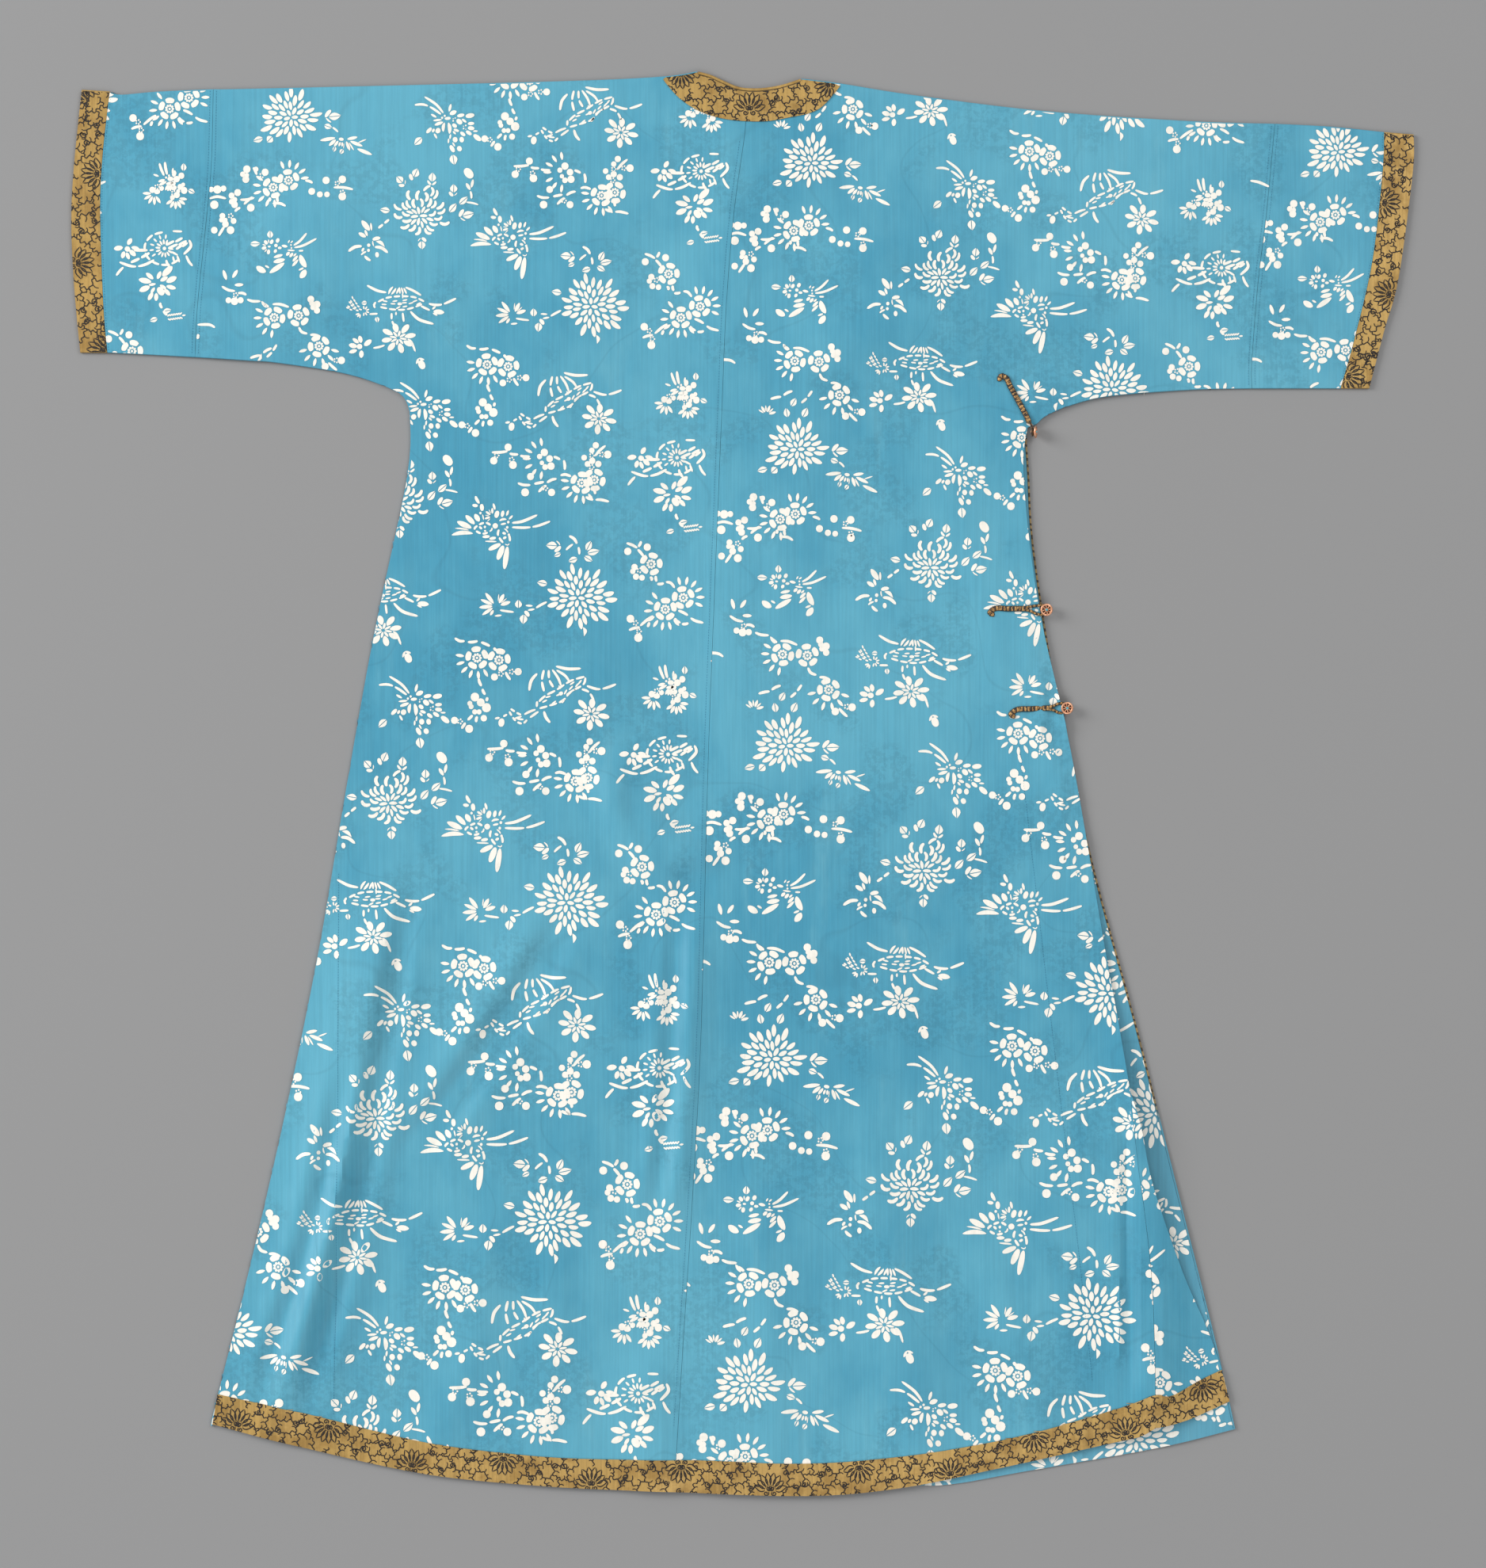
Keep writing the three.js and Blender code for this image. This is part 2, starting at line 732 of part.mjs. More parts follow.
// The top button stands on its rim beside the underarm, and its loop stands round the shank.
const topZ = onBack(topFastening.x2, topFastening.y2) - gap + tailLift;
const topTail = [
  new THREE.Vector3(topFastening.x1, topFastening.y1, topZ),
  new THREE.Vector3(topFastening.x2, topFastening.y2, topZ),
  new THREE.Vector3(topFastening.x3, topFastening.y3, topZ),
  new THREE.Vector3(topFastening.x4, topFastening.y4, topZ + 0.6),
];
const buttonZ = buttonRadius + 2 * gap;
const shank = new THREE.Vector3(Math.sin(buttonTilt), 0, Math.cos(buttonTilt));
const upRing = new THREE.Vector3(-Math.cos(buttonTilt), 0, Math.sin(buttonTilt));
const buttonMiddle = new THREE.Vector3(topFastening.buttonX, topFastening.buttonY, buttonZ);
const ringMiddle = buttonMiddle.addScaledVector(shank, -2.6);
function ringAt(angle) {
  const raised = ringMiddle.clone().addScaledVector(upRing, hoop * Math.sin(angle));
  return raised.add(new THREE.Vector3(0, hoop * Math.cos(angle), 0));
}
const topLoop = [
  new THREE.Vector3(topFastening.x4 - 0.6, topFastening.y4 + 1.4, topZ + 0.6),
  new THREE.Vector3(ringMiddle.x - 1, topFastening.buttonY + 5.6, buttonZ),
  ringAt(Math.PI * 0.35),
  ringAt(Math.PI * 0.75),
  ringAt(Math.PI * 1.15),
  ringAt(Math.PI * 1.55),
  ringAt(Math.PI * 1.9),
];
frog("frog_top", topTail, topLoop);
button("button_top", topFastening.buttonX, topFastening.buttonY, buttonZ, buttonTilt);

// The frame's origin is under the middle of the robe, on what it lies on.
const bounds = new THREE.Box3().setFromObject(robe);
const middle = bounds.getCenter(new THREE.Vector3());
robe.position.set(-middle.x, -middle.y, -bounds.min.z);

export default robe;
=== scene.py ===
# A woman's silk robe laid out flat on its front, so that its back shows: blue damask with a cream
# stencil print, gold brocade bands, and three looped fastenings with metal buttons on its right side.
import math
import random
from collections import namedtuple

import bmesh
import bpy
import numpy as np
from mathutils import Matrix, Vector


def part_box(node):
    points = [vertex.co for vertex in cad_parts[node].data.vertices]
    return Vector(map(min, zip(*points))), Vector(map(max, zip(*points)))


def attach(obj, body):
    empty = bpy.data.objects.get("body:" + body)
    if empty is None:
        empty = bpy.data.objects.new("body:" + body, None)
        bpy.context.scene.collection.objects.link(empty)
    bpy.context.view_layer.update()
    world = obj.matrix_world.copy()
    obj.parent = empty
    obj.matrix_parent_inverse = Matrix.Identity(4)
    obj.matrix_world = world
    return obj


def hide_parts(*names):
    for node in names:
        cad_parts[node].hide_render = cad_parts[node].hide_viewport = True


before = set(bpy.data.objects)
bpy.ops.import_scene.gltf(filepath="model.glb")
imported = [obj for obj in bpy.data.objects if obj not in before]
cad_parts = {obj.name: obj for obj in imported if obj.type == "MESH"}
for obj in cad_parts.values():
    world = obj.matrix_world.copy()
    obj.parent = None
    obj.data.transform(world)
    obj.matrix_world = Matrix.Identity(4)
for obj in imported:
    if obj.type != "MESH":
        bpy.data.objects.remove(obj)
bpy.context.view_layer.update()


# ------------------------------------------------------------------ camera, floor and light
# The robe is seen square from above through a long lens. It lies on a plain pale floor, under
# broad soft lights, the strongest of them low on its left so that the folds show.
mm = 0.001
long_side = 1543.6 * mm
lens_length = 85
sensor = 36
bpy.ops.object.camera_add(
    location=(0.0003, -0.0009, long_side * lens_length / sensor), rotation=(0, 0, 0)
)
camera = bpy.context.object
camera.data.lens = lens_length
camera.data.sensor_width = sensor
bpy.context.scene.camera = camera

bpy.ops.mesh.primitive_plane_add(size=14, location=(0, 0, -0.0003))
floor = bpy.context.object
floor.name = "floor"
floor_finish = bpy.data.materials.new("pale_floor")
floor_finish.use_nodes = True
floor_paint = floor_finish.node_tree.nodes["Principled BSDF"]
floor_paint.inputs["Base Color"].default_value = (0.241, 0.241, 0.242, 1)
floor_paint.inputs["Roughness"].default_value = 0.95
floor.data.materials.append(floor_finish)

# The columns are the light's place, its size and its power. Each aims at the middle of the floor.
Light = namedtuple("Light", "x y z size power")
studio = [
    Light(-5.6, 2.2, 2.9, 3.0, 420),
    Light(3.0, 2.6, 3.6, 2.5, 75),
    Light(0.8, -3.6, 3.8, 3.0, 70),
]
for lamp in studio:
    bpy.ops.object.light_add(type="AREA", location=(lamp.x, lamp.y, lamp.z))
    light = bpy.context.object
    light.data.size = lamp.size
    light.data.energy = lamp.power
    light.rotation_euler = (-light.location).to_track_quat("-Z", "Y").to_euler()
world = bpy.data.worlds.new("studio")
world.use_nodes = True
world.node_tree.nodes["Background"].inputs["Color"].default_value = (1, 1, 1, 1)
world.node_tree.nodes["Background"].inputs["Strength"].default_value = 0.55
bpy.context.scene.world = world
bpy.context.scene.view_settings.view_transform = "Standard"


# ------------------------------------------------------------------ left half
# One loom width of blue damask makes the back, the front and the upper sleeve of the left side.
# It is folded at the shoulder, without a seam, and sewn shut along the underarm and the side.
robe_middle = (0.8656, 0.1532)
cloth = 1.2
gap = 0.3
layer = cloth + gap
seam_half = gap / 2
fold_radius = (layer + cloth) / 2
silk_wall = 0.55
grid_step = 7.0
binding_width = 3.0
deepest_trough = 0.25
# Outlines leave out points nearer than a double, and a point this near a line counts as on it.
near_double = 0.4
on_line = 0.05
edge_step = 0.25
front_neck_depth = 95

shoulder_left = (-44, 700.5)
shoulder_right = (59, 693.4)
centre_back = [
    (5, 686), (3.5, 644), (-7.4, 564), (-15.2, 471), (-20, 358), (-30, 108), (-34, -9),
    (-40, -243), (-48, -399), (-58, -555), (-66.5, -697),
]
shoulder_line_left = [shoulder_left, (-79, 695.4), (-184.5, 690.7), (-473, 683.7), (-520, 683)]
sleeve_seam_left = [(-520, 683), (-522, 609), (-527, 553), (-535.5, 471), (-538, 419.5)]
underarm_left = [
    (-538, 419.5), (-484, 416), (-457.5, 414), (-395, 404.4), (-356, 392.7), (-333.5, 381),
    (-326.4, 365.4),
]
side_left = [
    (-326.4, 365.4), (-328.8, 303), (-361.5, 147), (-389.6, -9), (-416, -165), (-448, -321),
    (-484, -477), (-519, -617), (-520.7, -630.6),
]
hem_left = [(-520.7, -630.6), (-439, -651.7), (-309, -679.8), (-180, -692.3), (-66.7, -697)]
neck_curve = [
    shoulder_left, (-31, 697), (-20.7, 692.3), (-3.5, 685.2), (13.7, 683.7), (30, 685.2),
    (44, 688.4), shoulder_right,
]


def smooth_line(rows, steps):
    """Points evenly spaced in count on the curve through the rows, ends included."""
    rows = np.array(rows, float)
    last = len(rows) - 1
    points = []
    for t in np.linspace(0, last, steps + 1):
        i = min(int(t), last - 1)
        w = t - i
        before, here = rows[max(i - 1, 0)], rows[i]
        there, after = rows[i + 1], rows[min(i + 2, last)]
        leave, arrive = (there - before) / 2, (after - here) / 2
        points.append(
            (2 * here - 2 * there + leave + arrive) * w**3
            + (3 * there - 3 * here - 2 * leave - arrive) * w**2
            + leave * w
            + here
        )
    return np.array(points)


def shifted(line, dx, dy=0.0):
    return np.array(line, float) + (dx, dy)


def back_along(line):
    return np.array(line, float)[::-1]


def outline_of(*lines):
    """A closed outline, anticlockwise, from lines laid end to end, with near doubles left out."""
    points = np.concatenate([np.array(line, float).reshape(-1, 2) for line in lines])
    kept = [points[0]]
    for p in points[1:]:
        if np.hypot(*(p - kept[-1])) > near_double:
            kept.append(p)
    if np.hypot(*(kept[0] - kept[-1])) < near_double:
        kept.pop()
    kept = np.array(kept)
    following = np.roll(kept, -1, axis=0)
    area = np.sum(kept[:, 0] * following[:, 1] - following[:, 0] * kept[:, 1])
    return kept if area > 0 else kept[::-1]


def ease(low, high, value):
    share = np.clip((value - low) / (high - low), 0, 1)
    return share * share * (3 - 2 * share)


def y_on(line, x):
    rows = np.array(sorted(map(tuple, line)))
    return np.interp(x, rows[:, 0], rows[:, 1])


def x_on(line, y):
    rows = np.array(line)[::-1]
    return np.interp(y, rows[:, 1], rows[:, 0])


# The layers beneath: the overlap lies lowest, the inner front on it, the back over both.
lapel_edge = [(0, 598), (60, 562), (150, 470), (230, 385), (281, 340)]
side_right = [
    (281, 349.8), (277, 303), (291.3, 178), (324, 30), (357.6, -165), (368.6, -225), (381, -301),
]
gore_seam = [(381, -301), (388.8, -376), (394.3, -414), (402, -483), (405.2, -558), (406, -633)]
side_and_gore = np.concatenate([smooth_line(side_right, 36), smooth_line(gore_seam, 30)[1:]])

Fold = namedtuple("Fold", "x1 y1 x2 y2 bow reach rise")
folds = [
    Fold(-140, 10, -38, -84, -14, 22, 9),
    Fold(-50, -130, -70, -430, 4, 26, 6),
    Fold(-356, -110, -452, -615, 6, 34, 8),
    Fold(-90, -560, -84, -705, 0, 26, 5),
    Fold(384, -250, 404, -660, 8, 24, 9),
    Fold(60, 420, 330, 470, 16, 34, 3),
    Fold(-470, 560, -250, 450, 10, 34, 4),
    Fold(120, -380, 180, -690, 12, 34, 4),
]
# Smaller ridges and troughs, which only the cloth itself shows.
creases = [
    Fold(-205, -130, -345, -335, 8, 22, 3.0),
    Fold(-185, -150, -318, -352, 10, 20, -5.5),
    Fold(-116, -8, -42, -92, -12, 17, -3.6),
    Fold(-62, -120, -84, -420, 3, 13, -6.0),
    Fold(-330, -140, -424, -600, 4, 16, -6.5),
    Fold(-392, -300, -470, -600, 4, 15, -5.5),
    Fold(292, 150, 306, 40, 6, 10, -5.0),
    Fold(306, 66, 330, -40, 6, 10, -4.6),
    Fold(374, -330, 380, -600, 4, 9, -5.0),
    Fold(-100, 480, -300, 540, 14, 24, 2.2),
    Fold(100, 520, 300, 560, -10, 22, 2.0),
    Fold(-420, 640, -200, 560, 12, 18, 2.0),
    Fold(200, 300, 260, 60, 12, 20, 2.0),
    Fold(-260, 250, -120, 90, 10, 24, 2.2),
    Fold(40, -60, 160, -250, 14, 22, 2.2),
    Fold(220, -430, 300, -640, 8, 18, 2.4),
    Fold(-240, -420, -300, -660, 6, 20, 2.6),
    Fold(-180, -380, -200, -660, 6, 18, 2.2),
    Fold(10, -420, 30, -680, 6, 20, 2.2),
]


def rise_of(rows, x, y):
    """The summed height of soft ridges and troughs, each with a slight waver in its line."""
    height = np.zeros_like(x)
    for number, row in enumerate(rows):
        run = np.array([row.x2 - row.x1, row.y2 - row.y1], float)
        length = np.hypot(*run)
        run /= length
        share = ((x - row.x1) * run[0] + (y - row.y1) * run[1]) / length
        side = (y - row.y1) * run[0] - (x - row.x1) * run[1]
        waver = row.reach * 0.10 * np.sin(share * 7 + number)
        across = (side - row.bow * np.sin(np.pi * np.clip(share, 0, 1)) - waver) / row.reach
        ends = ease(-0.15, 0.2, share) * (1 - ease(0.8, 1.15, share))
        # A trough lies between two soft shoulders.
        shape = 1.0 if row.rise > 0 else 1 - 2 * across**2
        height += row.rise * ends * shape * np.exp(-across * across)
    return height


def on_overlap(x, y):
    lapel_y = y_on(lapel_edge, x)
    below = 1 - ease(lapel_y + 30, lapel_y + 80, y)
    return below * (1 - ease(283, 343, x) * ease(345, 365, y))


def back_base(x, y):
    past_side = np.where(y < 345, ease(26, 60, x - x_on(side_and_gore, y)), 0)
    return layer + layer * on_overlap(x, y) * ease(-58, -10, x) * (1 - past_side)


def gentle(x, y):
    """The slight unevenness of silk that lies by its own weight, longest down the robe."""
    return (
        0.45 * np.sin(x / 47 + 1.1 * np.sin(y / 120))
        + 0.35 * np.sin(x / 23 - y / 160 + 2.0 * np.sin(y / 210 + 1))
        + 0.30 * np.sin(y / 71 + x / 95)
    )


def calm(x, y):
    """1 over most of the robe, and 0 near the folded shoulder, where the cloth lies level."""
    return 1 - ease(590, 640, y + np.abs(x) * 0.06)


def back_top(x, y):
    """The upper face of the back."""
    base = back_base(x, y) + cloth
    relief = rise_of(folds, x, y) + rise_of(creases, x, y) + gentle(x, y)
    return np.maximum(base + relief * calm(x, y), base - deepest_trough)


def inner_front_face(x, y):
    return layer * on_overlap(x, y)


def flat_face(x, y):
    return np.zeros_like(x)


def within(outline, points):
    """Which of the points lie inside the outline, by the even-odd rule."""
    x, y = points[:, 0], points[:, 1]
    result = np.zeros(len(points), bool)
    for (ax, ay), (bx, by) in zip(outline, np.roll(outline, -1, axis=0)):
        crosses = (ay > y) != (by > y)
        if ay != by:
            result ^= crosses & (x < (bx - ax) * (y - ay) / (by - ay) + ax)
    return result


def clipped(subject, window):
    """The part of an outline that lies in a convex window, whose points run anticlockwise."""
    kept = [tuple(p) for p in subject]
    for (ax, ay), (bx, by) in zip(window, [*window[1:], window[0]]):
        if not kept:
            return []
        sides = [(bx - ax) * (py - ay) - (by - ay) * (px - ax) for px, py in kept]
        result = []
        for i, (here, s) in enumerate(zip(kept, sides)):
            before, r = kept[i - 1], sides[i - 1]
            if (r > 0) != (s > 0) and r != s:
                t = r / (r - s)
                result.append(tuple(b + (h - b) * t for b, h in zip(before, here)))
            if s > 0:
                result.append(here)
        kept = result
    return kept


def dense(outline):
    """Points along the whole outline, so close that every cell it crosses holds one."""
    points = []
    for a, b in zip(outline, np.roll(outline, -1, axis=0)):
        count = max(1, math.ceil(np.hypot(*(b - a)) / edge_step))
        points.append(a + (b - a) * np.arange(count)[:, None] / count)
    return np.concatenate(points)


def cloth_cells(outline):
    """The outline filled with square cells, cut along its edge: polygons of (x, y) points."""
    low = np.floor(outline.min(0) / grid_step).astype(int)
    high = np.ceil(outline.max(0) / grid_step).astype(int)
    edge_cells = set(map(tuple, np.floor(dense(outline) / grid_step).astype(int)))
    columns, rows = np.meshgrid(np.arange(low[0], high[0]), np.arange(low[1], high[1]))
    cells = np.stack([columns.ravel(), rows.ravel()], 1)
    inner = within(outline, (cells + 0.5) * grid_step)
    polygons = []
    for (i, j), filled in zip(map(tuple, cells), inner):
        x, y = i * grid_step, j * grid_step
        corners = [(x, y), (x + grid_step, y), (x + grid_step, y + grid_step), (x, y + grid_step)]
        if (i, j) in edge_cells:
            part = clipped(outline, corners)
            if len(part) > 2:
                polygons.append(part)
        elif filled:
            polygons.append(corners)
    return polygons


def near_line(line, x, y):
    """True if the point lies on the line, which is a row of points."""
    a, b = line[:-1], line[1:]
    run = b - a
    t = np.clip(((x - a[:, 0]) * run[:, 0] + (y - a[:, 1]) * run[:, 1]) / (run**2).sum(1), 0, 1)
    return np.min(np.hypot(a[:, 0] + t * run[:, 0] - x, a[:, 1] + t * run[:, 1] - y)) < on_line


class Sheet:
    """A piece of cloth as one mesh of points in the pattern's millimetres."""

    def __init__(self, mesh=None):
        self.mesh = bmesh.new() if mesh is None else mesh

    def face(self, outline, height, upward=True):
        """Adds a layer that faces up or down."""
        known = {}
        for polygon in cloth_cells(outline):
            corners = []
            for x, y in polygon:
                key = (round(x, 2), round(y, 2))
                if key not in known:
                    known[key] = self.mesh.verts.new((x, y, 0))
                if not corners or corners[-1] is not known[key]:
                    corners.append(known[key])
            if corners[0] is corners[-1]:
                corners.pop()
            if len(set(corners)) != len(corners) or len(corners) < 3:
                continue
            if len(corners) == 4 and upward:
                a, b, c, d = corners
                self.mesh.faces.new((a, b, c))
                self.mesh.faces.new((a, c, d))
            else:
                self.mesh.faces.new(corners if upward else corners[::-1])
        points = list(known.values())
        places = np.array([v.co[:2] for v in points])
        for vertex, z in zip(points, height(places[:, 0], places[:, 1])):
            vertex.co.z = z
        return points

    def close(self, line, steps, bulge):
        """Joins the upper layer's edge along a line to the lower layer's edge at the same places,
        by a rounded nose that stands out by bulge."""
        upper = [e for e in self.mesh.edges if len(e.link_faces) == 1 and e.link_faces[0].normal.z > 0]
        lower = {}
        for e in self.mesh.edges:
            if len(e.link_faces) == 1 and e.link_faces[0].normal.z < 0:
                for v in e.verts:
                    lower[round(v.co.x, 2), round(v.co.y, 2)] = v
        chains = {}
        for edge in upper:
            if not all(near_line(line, v.co.x, v.co.y) for v in edge.verts):
                continue
            a, b = edge.verts
            middle = (a.co + b.co) / 2
            inwards = edge.link_faces[0].calc_center_median() - middle
            across = np.array([-(b.co.y - a.co.y), b.co.x - a.co.x])
            across /= max(np.hypot(*across), 1e-9)
            if across[0] * inwards.x + across[1] * inwards.y > 0:
                across = -across
            for v in edge.verts:
                chains.setdefault(v, []).append(across)
        rings = {}
        for v, outward in chains.items():
            foot = lower.get((round(v.co.x, 2), round(v.co.y, 2)))
            if foot is None:
                continue
            out = np.mean(outward, axis=0)
            ring = [v]
            for k in range(1, steps):
                angle = math.pi * k / steps
                reach = bulge * math.sin(angle)
                z = (v.co.z + foot.co.z) / 2 + (v.co.z - foot.co.z) / 2 * math.cos(angle)
                ring.append(self.mesh.verts.new((v.co.x + out[0] * reach, v.co.y + out[1] * reach, z)))
            ring.append(foot)
            rings[v] = ring
        for edge in upper:
            a, b = edge.verts
            if a in rings and b in rings and a in chains and b in chains:
                if not (near_line(line, *((a.co + b.co) / 2)[:2])):
                    continue
                loop = [l for l in edge.link_faces[0].loops if l.edge is edge][0]
                if loop.vert is a:
                    a, b = b, a
                for k in range(steps):
                    quad = [rings[a][k], rings[b][k], rings[b][k + 1], rings[a][k + 1]]
                    if len(set(quad)) == 4:
                        self.mesh.faces.new(quad)

    def finish(self, name, wall=silk_wall):
        """Makes the object, in metres about the robe's middle, with the cloth's thickness."""
        self.mesh.normal_update()
        for v in self.mesh.verts:
            v.co = ((v.co.x - robe_middle[0]) * mm, (v.co.y - robe_middle[1]) * mm, v.co.z * mm)
        data = bpy.data.meshes.new(name)
        self.mesh.to_mesh(data)
        self.mesh.free()
        piece = bpy.data.objects.new(name, data)
        bpy.context.collection.objects.link(piece)
        bpy.ops.object.select_all(action="DESELECT")
        bpy.context.view_layer.objects.active = piece
        piece.select_set(True)
        if wall:
            thickness = piece.modifiers.new("thickness", "SOLIDIFY")
            thickness.thickness = wall * mm
            thickness.offset = -1
            bpy.ops.object.modifier_apply(modifier="thickness")
        bpy.ops.object.shade_smooth_by_angle(angle=math.radians(40))
        return piece


def top_line(rows, steps, start_shift, end_shift):
    line = shifted(smooth_line(rows, steps), 0, -fold_radius)
    line[0, 0] += start_shift
    line[-1, 0] += end_shift
    return line


def front_neck_line(start_x, start_y):
    """The front neck edge on one side, a quarter of an oval below the shoulder point."""
    middle_x = (shoulder_left[0] + shoulder_right[0]) / 2
    angles = np.linspace(0, math.pi / 2, 17)
    x = middle_x + (start_x - middle_x) * np.cos(angles)
    return np.stack([x, start_y - front_neck_depth * np.sin(angles) - fold_radius], 1)


neck = shifted(smooth_line(neck_curve, 40), 0, -binding_width - 2 * gap)
seam_top = (5, float(y_on(neck, 5)))
centre = np.concatenate([[seam_top], smooth_line(centre_back, 60)[2:]])
top_left = top_line(shoulder_line_left, 30, 0, seam_half)
piece_left = smooth_line(sleeve_seam_left, 18)[1:]
arm_left = smooth_line(underarm_left, 42)
edge_left = smooth_line(side_left, 48)
hem_left_line = smooth_line(hem_left, 24)
left_outline = outline_of(
    back_along(top_left),
    neck[neck[:, 0] < seam_top[0] - 1],
    shifted(centre, -seam_half),
    back_along(hem_left_line),
    back_along(edge_left),
    back_along(arm_left),
    back_along(shifted(piece_left, seam_half)),
)
front_neck_left = front_neck_line(*shoulder_left)
left_front_outline = outline_of(
    back_along(top_left),
    front_neck_left[front_neck_left[:, 0] < -seam_half],
    [(-seam_half, shoulder_right[1] - front_neck_depth), (-seam_half, hem_left[4][1] + 5)],
    back_along(shifted(hem_left_line, 0, 4)),
    back_along(edge_left),
    back_along(arm_left),
    back_along(shifted(piece_left, seam_half)),
)
left_half = Sheet()
left_half.face(left_outline, back_top)
left_half.face(left_front_outline, flat_face, upward=False)
left_half.mesh.normal_update()
left_half.close(top_left, 6, fold_radius)
left_half.mesh.normal_update()
left_half.close(np.concatenate([arm_left, edge_left[1:-1]]), 3, 0.5)
left_half = left_half.finish("left_half")


# ------------------------------------------------------------------ silk of the robe
# Light blue silk damask: fine streaks down the cloth, faint tone-on-tone sprays woven in, soft
# patches where it has worn paler, and a fine weave that catches the light.
def new_group(name, inputs, outputs):
    """A node group with named sockets, given as (name, socket type, default or None)."""
    group = bpy.data.node_groups.new(name, "ShaderNodeTree")
    for label, kind, default in inputs:
        made = group.interface.new_socket(name=label, in_out="INPUT", socket_type=kind)
        if default is not None:
            made.default_value = default
    for label, kind in outputs:
        group.interface.new_socket(name=label, in_out="OUTPUT", socket_type=kind)
    return group, group.nodes.new("NodeGroupInput"), group.nodes.new("NodeGroupOutput")


def maths(tree, operation, *values, clamp=False):
    """A Math node. Each value is a number or an output socket."""
    node = tree.nodes.new("ShaderNodeMath")
    node.operation = operation
    node.use_clamp = clamp
    for socket, value in zip(node.inputs, values):
        if isinstance(value, (int, float)):
            socket.default_value = value
        else:
            tree.links.new(value, socket)
    return node.outputs[0]


def summed(tree, *parts):
    """The sum of (socket, factor) products."""
    total, *others = [maths(tree, "MULTIPLY", socket, factor) for socket, factor in parts]
    for other in others:
        total = maths(tree, "ADD", total, other)
    return total


def mapped(tree, vector, scale):
    node = tree.nodes.new("ShaderNodeMapping")
    node.inputs["Scale"].default_value = scale
    tree.links.new(vector, node.inputs["Vector"])
    return node.outputs[0]


def noise_of(tree, vector, scale, detail=2.0, roughness=0.5):
    node = tree.nodes.new("ShaderNodeTexNoise")
    node.inputs["Scale"].default_value = scale
    node.inputs["Detail"].default_value = detail
    node.inputs["Roughness"].default_value = roughness
    tree.links.new(vector, node.inputs["Vector"])
    return node.outputs["Fac"]


def ranged(tree, value, low, high, new_low=0.0, new_high=1.0):
    node = tree.nodes.new("ShaderNodeMapRange")
    node.interpolation_type = "SMOOTHSTEP"
    for label, number in zip(
        ["From Min", "From Max", "To Min", "To Max"], [low, high, new_low, new_high]
    ):
        node.inputs[label].default_value = number
    tree.links.new(value, node.inputs["Value"])
    return node.outputs[0]


def blended(tree, share, first, second):
    """A colour mix. Each side is a colour or a socket, and so is the share."""
    node = tree.nodes.new("ShaderNodeMix")
    node.data_type = "RGBA"
    for socket, value in zip([node.inputs[0], node.inputs[6], node.inputs[7]], [share, first, second]):
        if isinstance(value, (int, float, tuple)):
            socket.default_value = value
        else:
            tree.links.new(value, socket)
    return node.outputs[2]


def new_material(name):
    """A material, with its node tree, its shader and the place on the object."""
    material = bpy.data.materials.new(name)
    material.use_nodes = True
    tree = material.node_tree
    place = tree.nodes.new("ShaderNodeTexCoord").outputs["Object"]
    return material, tree, tree.nodes["Principled BSDF"], place


def shaded(tree, paint, colour, shade):
    """Gives a shader its colour, made lighter or darker by a shade about 1."""
    tone = tree.nodes.new("ShaderNodeHueSaturation")
    tree.links.new(colour, tone.inputs["Color"])
    tree.links.new(shade, tone.inputs["Value"])
    tree.links.new(tone.outputs[0], paint.inputs["Base Color"])


def bumped(tree, paint, height, strength, distance=0.0003):
    """Gives a shader fine relief from a height."""
    bump = tree.nodes.new("ShaderNodeBump")
    bump.inputs["Strength"].default_value = strength
    bump.inputs["Distance"].default_value = distance
    tree.links.new(height, bump.inputs["Height"])
    tree.links.new(bump.outputs["Normal"], paint.inputs["Normal"])


def tint(red, green, blue):
    """A colour given as it looks on a screen, 0 to 255, as the linear light that a shader takes."""
    parts = [c / 255 for c in (red, green, blue)]
    return tuple(c / 12.92 if c <= 0.04045 else ((c + 0.055) / 1.055) ** 2.4 for c in parts) + (1.0,)


weave_group, given, put = new_group(
    "weave",
    [("Vector", "NodeSocketVector", None), ("Threads", "NodeSocketFloat", 1400.0)],
    [("Height", "NodeSocketFloat"), ("Streak", "NodeSocketFloat")],
)
warp = noise_of(weave_group, mapped(weave_group, given.outputs["Vector"], (900, 26, 40)), 1.0, 3)
weft = noise_of(weave_group, mapped(weave_group, given.outputs["Vector"], (30, 700, 40)), 1.0, 2)
slub = noise_of(weave_group, mapped(weave_group, given.outputs["Vector"], (420, 7, 9)), 1.0, 4)
rib = weave_group.nodes.new("ShaderNodeTexWave")
rib.wave_type = "BANDS"
rib.bands_direction = "DIAGONAL"
rib.inputs["Distortion"].default_value = 0.6
rib.inputs["Detail"].default_value = 1.0
weave_group.links.new(given.outputs["Vector"], rib.inputs["Vector"])
weave_group.links.new(given.outputs["Threads"], rib.inputs["Scale"])
threads = summed(weave_group, (warp, 0.6), (weft, 0.4), (rib.outputs["Fac"], 0.25))
weave_group.links.new(threads, put.inputs["Height"])
streaks = summed(weave_group, (slub, 0.65), (warp, 0.35))
weave_group.links.new(streaks, put.inputs["Streak"])


